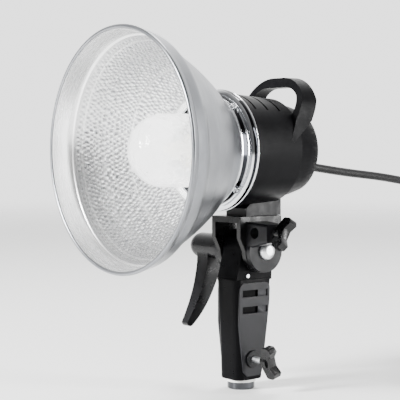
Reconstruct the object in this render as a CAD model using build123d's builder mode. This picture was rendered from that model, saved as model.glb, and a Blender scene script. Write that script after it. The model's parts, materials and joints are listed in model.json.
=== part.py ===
from build123d import *
from math import cos, pi, radians, sin, sqrt, tan
import os

# Monolight studio strobe with a dish reflector, a tilting head and a stand grip.
# Millimetres. +Z is up, -Y is the way the light goes, +X is the lamp's own left side.
# The origin is the middle of the stand socket's mouth, at the bottom of the grip.

os.makedirs("parts", exist_ok=True)

# ---------------------------------------------------------------- driving dimensions
HEAD_Z = 216.0  # height of the lamp axis
PIVOT_Y, PIVOT_Z = 8.0, 126.0  # tilt axis, which runs along X

MOUTH_Y, MOUTH_R = -138.0, 105.0  # reflector mouth
NECK_Y, NECK_R = -43.4, 51.0  # reflector's small end
SHEET = 1.5  # reflector sheet, measured along the radius
FLANGE = 1.2  # thickness of the reflector's turned-in small end
BEAD_R = 1.8  # rolled lip of the mouth
NECK_VENT_Y, NECK_VENT_R = -50.0, 2.2
FLANGE_R = 44.5  # hole in the reflector's small end
COLLAR_R, COLLAR_BORE, COLLAR_REAR = 50.5, 44.0, -33.5
LUG_R, LUG_REAR, LUG_FOOT_R, LUG_ARC = 43.4, -27.0, 40.0, 34.0
COLLAR_SCREW_Y, COLLAR_SCREW_R, COLLAR_SEAT_R = -38.0, 3.0, 48.6

RING_R, RING_BORE, RING_FRONT, RING_REAR = 54.5, 44.5, -33.0, -24.0
SHELL_FRONT, SHELL_REAR = -24.0, 31.0
SHELL_R_FRONT, SHELL_R_REAR, SHELL_WALL = 51.5, 47.7, 2.5
CAP_FACE = 62.0
CAP_R_FRONT, CAP_R_MIDDLE, CAP_R_REAR, CAP_WALL = 44.6, 41.8, 38.8, 2.5
VENT_YS = (-13.6, 1.2, 16.0)
VENT_WIDTH, VENT_HALF_ANGLE = 2.0, 44.0
LATCH_Y, LATCH_SLOT_Y, LATCH_TRAVEL = -12.5, -11.3, 3.0
LATCH_STEM, LATCH_PAD = 8.0, 9.0

DOME_R, DOME_WALL, DOME_SHOULDER, DOME_BASE = 32.0, 2.0, -87.0, -24.2

EAR_IN, EAR_OUT, EAR_R = 15.0, 20.0, 20.0
EAR_FRONT, EAR_REAR = -18.0, 31.0
BRIDGE_LOW, BRIDGE_TOP = 151.5, 157.0
DISC_OUT = 25.0
TONGUE_HALF, TONGUE_R = 13.4, 18.0
AXLE_R, RUN = 5.0, 0.05  # RUN is the radial running clearance
AXLE_HEAD_R = 8.0

UMBRELLA_X, UMBRELLA_Z, UMBRELLA_R = 30.0, 143.0, 5.0
UMBRELLA_FRONT, UMBRELLA_BACK = -11.0, 15.0
UMBRELLA_END = 45.0
SCREW_Y, SCREW_R, PAD_R = 1.0, 3.0, 3.8
STAND_Z = 28.0
PIN_Y, PIN_Z, PIN_R, PIN_HALF = -4.0, 103.4, 2.0, 14.7
BUSH_R, PAD_DEPTH, PAD_HOLE_R = 6.0, 16.0, 8.0
BODY_SIDE_X = 13.2  # a pad starts here, just inside the grip's side
SCREW_HEAD_R, SCREW_SEAT_X = 2.8, 12.2

GRIP_LOW, GRIP_MIDDLE, GRIP_TOP = 9.0, 55.0, 100.0
SLOT_LEVELS, SLOT_HEIGHT = (72.6, 87.5), 6.2  # finger slots in the grip's sides
SLOT_FRONT, SLOT_STEP, SLOT_REAR = -11.0, 8.0, 18.5
SLOT_DEEP_X, SLOT_SHALLOW_X = 12.2, 14.1
SOCKET_R, SLEEVE_R, SOCKET_DEPTH, SLEEVE_TOP = 8.1, 12.4, 55.0, 58.0

HUB_R, HUB_IN, HUB_OUT = 12.0, -25.3, -65.0
NUT_R, NUT_OUT = 8.0, -46.0
CORD_R = 4.0

# ---------------------------------------------------------------- shared construction
HEAD_SIDE = Plane(origin=(0, 0, HEAD_Z), x_dir=(0, 1, 0), z_dir=(1, 0, 0))
HEAD_AXIS = Axis((0, 0, HEAD_Z), (0, 1, 0))


def side_plane(x, y=0.0, z=0.0):
    """A sketch plane facing +X, whose own x is the lamp's Y and whose own y is Z."""
    return Plane(origin=(x, y, z), x_dir=(0, 1, 0), z_dir=(1, 0, 0))


def front_plane(y, x=0.0, z=0.0):
    """A sketch plane facing -Y, whose own x is the lamp's X and whose own y is Z."""
    return Plane(origin=(x, y, z), x_dir=(1, 0, 0), z_dir=(0, -1, 0))


def turned(*outline, mode=Mode.ADD):
    """Revolve a closed outline of (y, radius) corners about the lamp axis."""
    with BuildSketch(HEAD_SIDE) as section:
        with BuildLine():
            Polyline(*outline, close=True)
        make_face()
    revolve(section.sketch, axis=HEAD_AXIS, mode=mode)


def bar_x(radius, x_from, x_to, y, z, mode=Mode.ADD):
    """A round bar along X."""
    with BuildSketch(side_plane(x_from, y, z)) as section:
        Circle(radius)
    extrude(section.sketch, amount=x_to - x_from, mode=mode)


def bar_y(radius, y_from, y_to, x, z, mode=Mode.ADD):
    """A round bar along Y."""
    with BuildSketch(front_plane(y_to, x, z)) as section:
        Circle(radius)
    extrude(section.sketch, amount=y_to - y_from, mode=mode)


def bar_z(radius, z_from, z_to, x, y, mode=Mode.ADD):
    """A round bar along Z."""
    with BuildSketch(Plane(origin=(x, y, z_from))) as section:
        Circle(radius)
    extrude(section.sketch, amount=z_to - z_from, mode=mode)


def slab_x(outline, x_from, x_to, mode=Mode.ADD):
    """Extrude a closed outline of (y, z) corners along X."""
    with BuildSketch(side_plane(x_from)) as section:
        with BuildLine():
            Polyline(*outline, close=True)
        make_face()
    extrude(section.sketch, amount=x_to - x_from, mode=mode)


def save(piece, name):
    """Label a finished piece and write it as its own STEP file."""
    piece.part.label = name
    export_step(piece.part, f"parts/{name}.step")


def head_solid(mode, grow=0.0):
    """The barrel's whole outside as one solid of revolution, to cut neighbours to it."""
    turned(
        (SHELL_FRONT, 0),
        (SHELL_FRONT, SHELL_R_FRONT + grow),
        (SHELL_REAR, SHELL_R_REAR + grow),
        (SHELL_REAR, CAP_R_FRONT + grow),
        (48, CAP_R_MIDDLE + grow),
        (CAP_FACE - 3, CAP_R_REAR + grow),
        (CAP_FACE + grow, CAP_R_REAR - 3),
        (CAP_FACE + grow, 0),
        mode=mode,
    )


# ---------------------------------------------------------------- reflector
# Spun aluminium dish: a conical lip band, a step, then a curved dish down to the neck.
DISH = [(-117, 98.0), (-102, 89.2), (-85, 80.1), (-67, 68.7), (-53, 57.9), (NECK_Y, NECK_R)]

with BuildPart() as reflector_bowl:
    with BuildSketch(HEAD_SIDE):
        with BuildLine():
            Spline(*DISH)
            Polyline(
                DISH[-1],
                (NECK_Y, FLANGE_R),
                (NECK_Y - FLANGE, FLANGE_R),
                (NECK_Y - FLANGE, NECK_R - SHEET + 0.9),
            )
            Spline(
                (NECK_Y - FLANGE, NECK_R - SHEET + 0.9),
                *[(y, r - SHEET) for y, r in reversed(DISH[:-1])],
            )
            Polyline(
                (DISH[0][0], DISH[0][1] - SHEET),
                (DISH[0][0] - 1, DISH[0][1] - SHEET + 1.8),
                (MOUTH_Y + 1, MOUTH_R - 3.0),
                (MOUTH_Y + 1, MOUTH_R - 1.6),
                (-122.5, 101.8),
                (-119.5, 100.6),
                DISH[0],
            )
        make_face()
    revolve(axis=HEAD_AXIS)
    with BuildSketch(HEAD_SIDE):
        with Locations((MOUTH_Y + BEAD_R, MOUTH_R - BEAD_R)):
            Circle(BEAD_R)
    revolve(axis=HEAD_AXIS)
    # vent hole in the neck
    with BuildSketch(Plane(origin=(0, NECK_VENT_Y, HEAD_Z), x_dir=(0, 1, 0), z_dir=(0.78, 0, -0.62))):
        Circle(NECK_VENT_R)
    extrude(amount=70, mode=Mode.SUBTRACT)
save(reflector_bowl, "reflector_bowl")

SCREW_ANGLES = [42 + 90 * turn for turn in range(4)]  # from +Z towards +X


def radial_bars(radius, r_from, r_to, y, angles, mode=Mode.ADD):
    """Round bars that stand out from the lamp axis at the given angles from +Z."""
    for angle in angles:
        way = (sin(radians(angle)), 0, cos(radians(angle)))
        foot = (way[0] * r_from, y, HEAD_Z + way[2] * r_from)
        with BuildSketch(Plane(origin=foot, x_dir=(0, 1, 0), z_dir=way)) as section:
            Circle(radius)
        extrude(section.sketch, amount=r_to - r_from, mode=mode)


with BuildPart() as bayonet_collar:
    turned(
        (NECK_Y, COLLAR_BORE),
        (NECK_Y, COLLAR_SEAT_R),
        (NECK_Y + 1.4, COLLAR_SEAT_R),
        (NECK_Y + 1.4, COLLAR_R),
        (COLLAR_REAR, COLLAR_R),
        (COLLAR_REAR, COLLAR_BORE),
    )
    radial_bars(COLLAR_SCREW_R, COLLAR_SEAT_R, 60, COLLAR_SCREW_Y, SCREW_ANGLES, mode=Mode.SUBTRACT)
save(bayonet_collar, "bayonet_collar")

with BuildPart() as collar_screws:
    radial_bars(COLLAR_SCREW_R, COLLAR_SEAT_R, 52.2, COLLAR_SCREW_Y, SCREW_ANGLES)
    radial_bars(1.3, 51.2, 53, COLLAR_SCREW_Y, SCREW_ANGLES, mode=Mode.SUBTRACT)
save(collar_screws, "collar_screws")

# Three arc lugs reach back from the collar into the head's ring and lock by a twist.
with BuildPart() as bayonet_lugs:
    for turn in range(3):
        with BuildSketch(HEAD_SIDE) as lug_section:
            with BuildLine():
                Polyline(
                    (COLLAR_REAR, LUG_FOOT_R),
                    (COLLAR_REAR, LUG_R),
                    (LUG_REAR, LUG_R),
                    (LUG_REAR, LUG_FOOT_R),
                    close=True,
                )
            make_face()
        lug_start = lug_section.sketch.rotate(HEAD_AXIS, 120 * turn - LUG_ARC / 2)
        revolve(lug_start, axis=HEAD_AXIS, revolution_arc=LUG_ARC)
    turned(
        (COLLAR_REAR - 3, LUG_FOOT_R),
        (COLLAR_REAR - 3, COLLAR_BORE),
        (COLLAR_REAR, COLLAR_BORE),
        (COLLAR_REAR, LUG_FOOT_R),
    )
save(bayonet_lugs, "bayonet_lugs")

# ---------------------------------------------------------------- head: mount and barrel
with BuildPart() as mount_ring:
    turned(
        (RING_FRONT, RING_BORE),
        (RING_FRONT, RING_R - 2.5),
        (RING_FRONT + 2.5, RING_R),
        (RING_REAR - 1.4, RING_R),
        (RING_REAR - 1.4, SHELL_R_FRONT),
        (RING_REAR, SHELL_R_FRONT),
        (RING_REAR, RING_BORE),
    )
save(mount_ring, "mount_ring")

with BuildPart() as barrel_shell:
    turned(
        (SHELL_FRONT, SHELL_R_FRONT - SHELL_WALL),
        (SHELL_FRONT, SHELL_R_FRONT),
        (SHELL_REAR, SHELL_R_REAR),
        (SHELL_REAR, SHELL_R_REAR - SHELL_WALL),
    )
    # three curved cooling slots over the top
    for vent_y in VENT_YS:
        with BuildSketch(HEAD_SIDE) as slot_section:
            with Locations((vent_y, SHELL_R_REAR)):
                Rectangle(VENT_WIDTH, 12)
        slot_start = slot_section.sketch.rotate(HEAD_AXIS, -VENT_HALF_ANGLE)
        revolve(slot_start, axis=HEAD_AXIS, revolution_arc=2 * VENT_HALF_ANGLE, mode=Mode.SUBTRACT)
    # slot for the bayonet latch on the right side
    with BuildSketch(side_plane(-60, LATCH_SLOT_Y, HEAD_Z)):
        Rectangle(LATCH_STEM + LATCH_TRAVEL + 2, 5.4)
    extrude(amount=15, mode=Mode.SUBTRACT)
save(barrel_shell, "barrel_shell")

DIAL_X, DIAL_Z = -17.0, HEAD_Z + 9
ROCKER_X, ROCKER_Z = 17.0, HEAD_Z + 9
BUTTON_Z, BUTTON_R = HEAD_Z + 26, 3.5
JACK_X, JACK_Z, JACK_R = -21.0, HEAD_Z - 13, 1.75
LAMP_Z = HEAD_Z + 12
GLAND_Z, GLAND_R = HEAD_Z - 12, 6.4
CAP_INSIDE = CAP_FACE - CAP_WALL
CAP_SCREW_XS, CAP_SCREW_R, CAP_SCREW_HEAD_R = (-31, 31), 1.5, 2.8
DIAL_SHAFT_R, JACK_BODY_R, LAMP_R = 3.0, 4.0, 2.5

with BuildPart() as rear_cap:
    head_solid(Mode.ADD)
    turned((-30, 0), (-30, 60), (SHELL_REAR, 60), (SHELL_REAR, 0), mode=Mode.SUBTRACT)
    turned(
        (SHELL_REAR - 4, 42.0),
        (SHELL_REAR - 4, 45.0),
        (SHELL_REAR, 45.0),
        (SHELL_REAR, 42.0),
    )
    turned(
        (SHELL_REAR - 5, 0),
        (SHELL_REAR - 5, CAP_R_FRONT - CAP_WALL),
        (SHELL_REAR, CAP_R_FRONT - CAP_WALL),
        (48, CAP_R_MIDDLE - CAP_WALL),
        (CAP_FACE - 3, CAP_R_REAR - CAP_WALL),
        (CAP_INSIDE, CAP_R_REAR - 4),
        (CAP_INSIDE, 0),
        mode=Mode.SUBTRACT,
    )
    bar_y(DIAL_SHAFT_R + RUN, CAP_INSIDE - 1, CAP_FACE + 1, DIAL_X, DIAL_Z, mode=Mode.SUBTRACT)
    bar_y(BUTTON_R + RUN, CAP_INSIDE - 1, CAP_FACE + 1, 0, BUTTON_Z, mode=Mode.SUBTRACT)
    bar_y(JACK_BODY_R, CAP_INSIDE - 1, CAP_FACE + 1, JACK_X, JACK_Z, mode=Mode.SUBTRACT)
    bar_y(LAMP_R, CAP_INSIDE - 1, CAP_FACE + 1, 0, LAMP_Z, mode=Mode.SUBTRACT)
    bar_y(GLAND_R + 0.2, CAP_INSIDE - 1, CAP_FACE + 1, 0, GLAND_Z, mode=Mode.SUBTRACT)
    with BuildSketch(front_plane(CAP_FACE + 1, ROCKER_X, ROCKER_Z)):
        Rectangle(10.4, 17.0)
    extrude(amount=CAP_WALL + 2, mode=Mode.SUBTRACT)
    # air slots low on the rear face
    for slot_step in range(5):
        with BuildSketch(front_plane(CAP_FACE + 1, (slot_step - 2) * 6, HEAD_Z - 27)):
            SlotOverall(9, 2.2, rotation=90)
        extrude(amount=CAP_WALL + 2, mode=Mode.SUBTRACT)
    # pilot holes for the two cap screws
    for screw_x in CAP_SCREW_XS:
        bar_y(CAP_SCREW_R, CAP_INSIDE - 1, CAP_FACE + 1, screw_x, HEAD_Z, mode=Mode.SUBTRACT)
save(rear_cap, "rear_cap")

with BuildPart() as rear_cap_screws:
    for screw_x in CAP_SCREW_XS:
        bar_y(CAP_SCREW_R, CAP_INSIDE - 4, CAP_FACE, screw_x, HEAD_Z)
        bar_y(CAP_SCREW_HEAD_R, CAP_FACE, CAP_FACE + 1.6, screw_x, HEAD_Z)
save(rear_cap_screws, "rear_cap_screws")

with BuildPart() as bayonet_latch:
    with BuildSketch(side_plane(-52.6, LATCH_Y, HEAD_Z)):
        Rectangle(LATCH_STEM, 5.0)
    extrude(amount=6)
    with BuildSketch(side_plane(-55.6, LATCH_Y, HEAD_Z)):
        Rectangle(LATCH_PAD, LATCH_PAD)
    extrude(amount=3.4)
    fillet(bayonet_latch.edges().group_by(Axis.X)[0], radius=1.0)
save(bayonet_latch, "bayonet_latch")

# Carry handle: an arch across the barrel whose legs sweep forwards to a point on its sides.
HANDLE_ARCH = [(48.6, 6), (43.0, 28), (41.5, 67), (-41.5, 67), (-43.0, 28), (-48.6, 6)]
HANDLE_GAP = [(34.5, 0), (34.5, 58), (-34.5, 58), (-34.5, 0)]
HANDLE_SIDE = [(17, 8), (40, 50), (45.5, 70), (58.5, 70), (56, 46), (47, 27), (21, 7)]
HANDLE_OUTER_R, HANDLE_INNER_R = 36.0, 22.0

with BuildPart() as carry_handle:
    with BuildSketch(front_plane(60, 0, HEAD_Z)) as arch:
        with BuildLine():
            Polyline(*HANDLE_ARCH, close=True)
        make_face()
        fillet(arch.vertices().group_by(Axis.Y)[-1], radius=HANDLE_OUTER_R)
        with BuildSketch(mode=Mode.PRIVATE) as inside:
            with BuildLine():
                Polyline(*HANDLE_GAP, close=True)
            make_face()
            fillet(inside.vertices().group_by(Axis.Y)[-1], radius=HANDLE_INNER_R)
        add(inside.sketch, mode=Mode.SUBTRACT)
    extrude(amount=55)
    with BuildSketch(side_plane(-60, 0, HEAD_Z)) as sweep_back:
        with BuildLine():
            Polyline(*HANDLE_SIDE, close=True)
        make_face()
    extrude(amount=120, mode=Mode.INTERSECT)
    head_solid(Mode.SUBTRACT)
save(carry_handle, "carry_handle")

# ---------------------------------------------------------------- yoke under the barrel
with BuildPart() as foot_block:
    slab_x([(-6, BRIDGE_TOP), (-6, 164), (3, 172), (36, 172), (36, BRIDGE_TOP)], -14, 14)
    head_solid(Mode.SUBTRACT)
    bar_z(2.0, BRIDGE_TOP, BRIDGE_TOP + 6, 0, 4, mode=Mode.SUBTRACT)
    bar_z(2.0, BRIDGE_TOP, BRIDGE_TOP + 6, 0, 26, mode=Mode.SUBTRACT)
save(foot_block, "foot_block")


def ear_outline():
    """Side outline of a yoke ear: straight above, and round about the tilt axis below."""
    with BuildLine() as edge:
        Polyline(
            (PIVOT_Y - EAR_R, PIVOT_Z),
            (EAR_FRONT, PIVOT_Z + 12),
            (EAR_FRONT, BRIDGE_TOP),
            (EAR_REAR, BRIDGE_TOP),
            (EAR_REAR, PIVOT_Z + 12),
            (PIVOT_Y + EAR_R, PIVOT_Z),
        )
        ThreePointArc((PIVOT_Y + EAR_R, PIVOT_Z), (PIVOT_Y, PIVOT_Z - EAR_R), (PIVOT_Y - EAR_R, PIVOT_Z))
    return edge.line


with BuildPart() as yoke_bracket:
    for x_low in (EAR_IN, -EAR_OUT):
        with BuildSketch(side_plane(x_low)) as ear_face:
            add(ear_outline())
            make_face()
        extrude(ear_face.sketch, amount=EAR_OUT - EAR_IN)
    slab_x(
        [(EAR_FRONT, BRIDGE_LOW), (EAR_FRONT, BRIDGE_TOP), (EAR_REAR, BRIDGE_TOP), (EAR_REAR, BRIDGE_LOW)],
        -EAR_IN,
        EAR_IN,
    )
    bar_x(AXLE_R + RUN, -EAR_OUT - 1, EAR_OUT + 1, PIVOT_Y, PIVOT_Z, mode=Mode.SUBTRACT)
    bar_z(2.0, BRIDGE_LOW - 1, BRIDGE_TOP + 1, 0, 4, mode=Mode.SUBTRACT)
    bar_z(2.0, BRIDGE_LOW - 1, BRIDGE_TOP + 1, 0, 26, mode=Mode.SUBTRACT)
save(yoke_bracket, "yoke_bracket")

with BuildPart() as foot_screws:
    for screw_y in (4, 26):
        bar_z(2.0, BRIDGE_LOW, BRIDGE_TOP + 6, 0, screw_y)
        bar_z(3.6, BRIDGE_LOW - 2, BRIDGE_LOW, 0, screw_y)
save(foot_screws, "foot_screws")


def umbrella_blank(mode=Mode.ADD):
    """The tapered boss that stands out from the left ear."""
    with BuildSketch(side_plane(EAR_OUT)) as root_face:
        with Locations(((UMBRELLA_FRONT + UMBRELLA_BACK) / 2, 140.5)):
            RectangleRounded(UMBRELLA_BACK - UMBRELLA_FRONT, 24, 2)
    with BuildSketch(side_plane(UMBRELLA_END)) as end_face:
        with Locations(((UMBRELLA_FRONT + UMBRELLA_BACK) / 2, UMBRELLA_Z)):
            RectangleRounded(UMBRELLA_BACK - UMBRELLA_FRONT - 4, 16, 3)
    loft([root_face.sketch.faces()[0], end_face.sketch.faces()[0]], mode=mode)


with BuildPart() as umbrella_block:
    umbrella_blank()
    bar_x(AXLE_HEAD_R + 0.5, EAR_OUT - 1, EAR_OUT + 20, PIVOT_Y, PIVOT_Z, mode=Mode.SUBTRACT)
    bar_y(UMBRELLA_R, UMBRELLA_FRONT - 2, UMBRELLA_BACK + 2, UMBRELLA_X, UMBRELLA_Z, mode=Mode.SUBTRACT)
    bar_x(SCREW_R + RUN, UMBRELLA_X, UMBRELLA_END + 1, SCREW_Y, UMBRELLA_Z, mode=Mode.SUBTRACT)
    bar_x(PAD_R + RUN, UMBRELLA_X, UMBRELLA_X + 11, SCREW_Y, UMBRELLA_Z, mode=Mode.SUBTRACT)
save(umbrella_block, "umbrella_block")

with BuildPart() as ear_discs:
    for disc_from in (EAR_OUT, -DISC_OUT):
        bar_x(EAR_R - 0.6, disc_from, disc_from + DISC_OUT - EAR_OUT, PIVOT_Y, PIVOT_Z)
    umbrella_blank(Mode.SUBTRACT)
    bar_x(AXLE_R + RUN, -DISC_OUT - 1, DISC_OUT + 1, PIVOT_Y, PIVOT_Z, mode=Mode.SUBTRACT)
save(ear_discs, "ear_discs")

# ---------------------------------------------------------------- light source
with BuildPart() as front_plate:
    turned((SHELL_FRONT, 16), (SHELL_FRONT, 48.9), (-21, 48.6), (-21, 16))
save(front_plate, "front_plate")

with BuildPart() as lamp_holder:
    turned((-44, 0), (-44, 26.5), (-38, 26.5), (-38, 16), (-10, 16), (-10, 0))
save(lamp_holder, "lamp_holder")

with BuildPart() as dome_ring:
    turned((-42, DOME_R + 0.1), (-42, 34), (-40, 35.6), (SHELL_FRONT, 35.6), (SHELL_FRONT, DOME_R + 0.1))
save(dome_ring, "dome_ring")

with BuildPart() as glass_dome:
    with BuildSketch(HEAD_SIDE):
        with BuildLine():
            Polyline(
                (DOME_SHOULDER, DOME_R),
                (DOME_BASE, DOME_R),
                (DOME_BASE, DOME_R - DOME_WALL),
                (DOME_SHOULDER, DOME_R - DOME_WALL),
            )
            inner_tip = DOME_SHOULDER - DOME_R + DOME_WALL
            slant = (DOME_R - DOME_WALL) * sqrt(0.5)
            ThreePointArc(
                (DOME_SHOULDER, DOME_R - DOME_WALL), (DOME_SHOULDER - slant, slant), (inner_tip, 0)
            )
            Line((inner_tip, 0), (inner_tip - DOME_WALL, 0))
            slant = DOME_R * sqrt(0.5)
            ThreePointArc((inner_tip - DOME_WALL, 0), (DOME_SHOULDER - slant, slant), (DOME_SHOULDER, DOME_R))
        make_face()
    revolve(axis=HEAD_AXIS)
save(glass_dome, "glass_dome")

TUBE_RING_R, TUBE_R, TUBE_Y = 21.0, 3.2, -64.0
with BuildPart() as flash_tube:
    with BuildSketch(HEAD_SIDE) as tube_section:
        with Locations((TUBE_Y, TUBE_RING_R)):
            Circle(TUBE_R)
    tube_start = tube_section.sketch.rotate(HEAD_AXIS, 12)
    revolve(tube_start, axis=HEAD_AXIS, revolution_arc=336)
    for tube_angle in (12, -12):
        leg_x = TUBE_RING_R * sin(radians(tube_angle))
        leg_z = HEAD_Z + TUBE_RING_R * cos(radians(tube_angle))
        bar_y(TUBE_R, TUBE_Y, -44, leg_x, leg_z)
        with Locations((leg_x, TUBE_Y, leg_z)):
            Sphere(TUBE_R)
save(flash_tube, "flash_tube")

with BuildPart() as modelling_lamp:
    turned((-58, 0), (-58, 9), (-44, 9), (-44, 0))
    turned((-86, 0), (-85, 3.5), (-82, 6.3), (-78, 7.5), (-58, 7.5), (-58, 0))
save(modelling_lamp, "modelling_lamp")

# ---------------------------------------------------------------- inside the barrel
with BuildPart() as chassis_plate:
    turned((24, 0), (24, 41.5), (26, 41.5), (26, 0))
    for wire_x in (-24, 24):
        bar_y(4, 23, 27, wire_x, HEAD_Z + 18, mode=Mode.SUBTRACT)
save(chassis_plate, "chassis_plate")

with BuildPart() as standoffs:
    for post in range(3):
        post_angle = radians(120 * post + 180)
        bar_y(3, -21, 24, 37 * sin(post_angle), HEAD_Z + 37 * cos(post_angle))
save(standoffs, "standoffs")

CAN_R, CAN_Z = 10.5, HEAD_Z - 16
with BuildPart() as capacitors:
    for can_x in (-23, 23):
        bar_y(CAN_R, -6, 24, can_x, CAN_Z)
        bar_y(CAN_R - 1, -8, -6, can_x, CAN_Z)
save(capacitors, "capacitors")

with BuildPart() as circuit_board:
    with BuildSketch(Plane(origin=(0, 3, HEAD_Z + 22))):
        Rectangle(52, 42)
    extrude(amount=1.6)
save(circuit_board, "circuit_board")

with BuildPart() as trigger_coil:
    bar_z(7, HEAD_Z + 23.6, HEAD_Z + 25, -12, 4)
    bar_z(5, HEAD_Z + 25, HEAD_Z + 34, -12, 4)
    bar_z(7, HEAD_Z + 34, HEAD_Z + 35.4, -12, 4)
save(trigger_coil, "trigger_coil")

FAN_PORT_R, FAN_SPINDLE_R, FAN_BLADES, BLADE_MIDDLE_R = 22.0, 2.0, 7, 14.0
with BuildPart() as fan_frame:
    bar_y(34, 36, 48, 0, HEAD_Z)
    bar_y(FAN_PORT_R, 38, 49, 0, HEAD_Z, mode=Mode.SUBTRACT)
    for port in range(3):
        port_angle = radians(120 * port)
        with BuildSketch(front_plane(40, BLADE_MIDDLE_R * sin(port_angle), HEAD_Z + BLADE_MIDDLE_R * cos(port_angle))) as hole:
            Circle(6)
        extrude(hole.sketch, amount=6, mode=Mode.SUBTRACT)
    bar_y(FAN_SPINDLE_R + RUN, 35, 39, 0, HEAD_Z, mode=Mode.SUBTRACT)
save(fan_frame, "fan_frame")

with BuildPart() as fan_rotor:
    bar_y(8, 39, 47, 0, HEAD_Z)
    bar_y(FAN_SPINDLE_R, 36, 39, 0, HEAD_Z)
    for blade in range(FAN_BLADES):
        way = radians(360 / FAN_BLADES * blade)
        middle = (BLADE_MIDDLE_R * sin(way), 43, HEAD_Z + BLADE_MIDDLE_R * cos(way))
        outwards = (sin(way), 0, cos(way))
        across = (cos(way) * 0.75, 0.66, -sin(way) * 0.75)
        with BuildSketch(Plane(origin=middle, x_dir=across, z_dir=outwards)) as blade_root:
            Rectangle(8.5, 1.2)
        extrude(blade_root.sketch, amount=6.5, both=True)
save(fan_rotor, "fan_rotor")

# ---------------------------------------------------------------- rear controls
DIAL_R, DIAL_RIBS = 8.5, 12
with BuildPart() as output_dial:
    bar_y(DIAL_SHAFT_R, CAP_INSIDE - 3, CAP_FACE + 0.4, DIAL_X, DIAL_Z)
    bar_y(DIAL_R, CAP_FACE + 0.4, CAP_FACE + 8, DIAL_X, DIAL_Z)
    chamfer(output_dial.edges().group_by(Axis.Y)[-1], length=1.0)
    for rib in range(DIAL_RIBS):
        rib_angle = radians(360 / DIAL_RIBS * rib)
        rib_x = DIAL_X + (DIAL_R + 0.4) * sin(rib_angle)
        rib_z = DIAL_Z + (DIAL_R + 0.4) * cos(rib_angle)
        bar_y(0.9, CAP_FACE + 0.3, CAP_FACE + 9, rib_x, rib_z, mode=Mode.SUBTRACT)
save(output_dial, "output_dial")

with BuildPart() as power_rocker:
    slab_x(
        [
            (CAP_INSIDE - 2, ROCKER_Z - 7.2),
            (CAP_FACE + 2.6, ROCKER_Z - 7.2),
            (CAP_FACE + 0.9, ROCKER_Z),
            (CAP_FACE + 0.9, ROCKER_Z + 7.2),
            (CAP_INSIDE - 2, ROCKER_Z + 7.2),
        ],
        ROCKER_X - 4.9,
        ROCKER_X + 4.9,
    )
    bar_x(1.0, ROCKER_X - 5, ROCKER_X + 5, CAP_INSIDE, ROCKER_Z, mode=Mode.SUBTRACT)  # pivot hole
save(power_rocker, "power_rocker")

with BuildPart() as test_button:
    bar_y(BUTTON_R, CAP_INSIDE - 1, CAP_FACE + 2.6, 0, BUTTON_Z)
    fillet(test_button.edges().group_by(Axis.Y)[-1], radius=0.8)
save(test_button, "test_button")

with BuildPart() as sync_socket:
    bar_y(JACK_BODY_R, CAP_FACE - 12, CAP_FACE, JACK_X, JACK_Z)
    bar_y(5.2, CAP_FACE, CAP_FACE + 1.2, JACK_X, JACK_Z)
    bar_y(JACK_R, CAP_FACE - 10.8, CAP_FACE + 2, JACK_X, JACK_Z, mode=Mode.SUBTRACT)
save(sync_socket, "sync_socket")

with BuildPart() as ready_lamp:
    bar_y(LAMP_R, CAP_INSIDE - 2, CAP_FACE + 0.5, 0, LAMP_Z)
    fillet(ready_lamp.edges().group_by(Axis.Y)[-1], radius=0.4)
save(ready_lamp, "ready_lamp")

# ---------------------------------------------------------------- grip
def finger_slots():
    """Cut two slots into each side, deep in front and shallow behind a step."""
    for side in (1, -1):
        for level in SLOT_LEVELS:
            with BuildSketch(Plane.XY.offset(level - SLOT_HEIGHT / 2)) as slot:
                with BuildLine():
                    Polyline(
                        (side * 20, SLOT_FRONT),
                        (side * SLOT_DEEP_X, SLOT_FRONT),
                        (side * SLOT_DEEP_X, SLOT_STEP),
                        (side * SLOT_SHALLOW_X, SLOT_STEP),
                        (side * SLOT_SHALLOW_X, SLOT_REAR),
                        (side * 20, SLOT_REAR),
                        close=True,
                    )
                make_face()
            extrude(slot.sketch, amount=SLOT_HEIGHT, mode=Mode.SUBTRACT)


with BuildPart() as grip_blank:
    for level, width, depth, middle_y, corner in (
        (GRIP_LOW, 28.0, 31.0, 0.5, 7.0),
        (GRIP_MIDDLE, 28.6, 36.5, 1.8, 6.5),
        (GRIP_TOP, 29.4, 44.0, 3.5, 6.0),
    ):
        with BuildSketch(Plane.XY.offset(level)):
            with Locations((0, middle_y)):
                RectangleRounded(width, depth, corner)
    loft()
    with BuildSketch(side_plane(-TONGUE_HALF)):
        with BuildLine():
            Polyline(
                (PIVOT_Y + TONGUE_R, PIVOT_Z),
                (25, GRIP_TOP - 1),
                (-17, GRIP_TOP - 1),
                (PIVOT_Y - TONGUE_R, PIVOT_Z),
            )
            ThreePointArc(
                (PIVOT_Y - TONGUE_R, PIVOT_Z), (PIVOT_Y, PIVOT_Z + TONGUE_R), (PIVOT_Y + TONGUE_R, PIVOT_Z)
            )
        make_face()
    extrude(amount=2 * TONGUE_HALF)
    fillet(grip_blank.edges().group_by(Axis.Z)[0], radius=1.5)
    # bores for the sleeve, the axle, the stop pin and the clamp screw
    bar_z(SLEEVE_R, GRIP_LOW - 1, SLEEVE_TOP, 0, 0, mode=Mode.SUBTRACT)
    bar_x(AXLE_R, -20, 20, PIVOT_Y, PIVOT_Z, mode=Mode.SUBTRACT)
    bar_x(PIN_R, -20, 20, PIN_Y, PIN_Z, mode=Mode.SUBTRACT)
    bar_x(BUSH_R, 8, 20, SCREW_Y, STAND_Z, mode=Mode.SUBTRACT)
    # weight-saving pocket above the socket
    with BuildSketch(Plane.XY.offset(SLEEVE_TOP + 4)):
        with Locations((0, 3)):
            RectangleRounded(18, 24, 4)
    extrude(amount=34, mode=Mode.SUBTRACT)
    finger_slots()

with BuildPart() as grip_left:
    add(grip_blank.part)
    split(bisect_by=Plane.YZ, keep=Keep.TOP)
save(grip_left, "grip_left")

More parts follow.
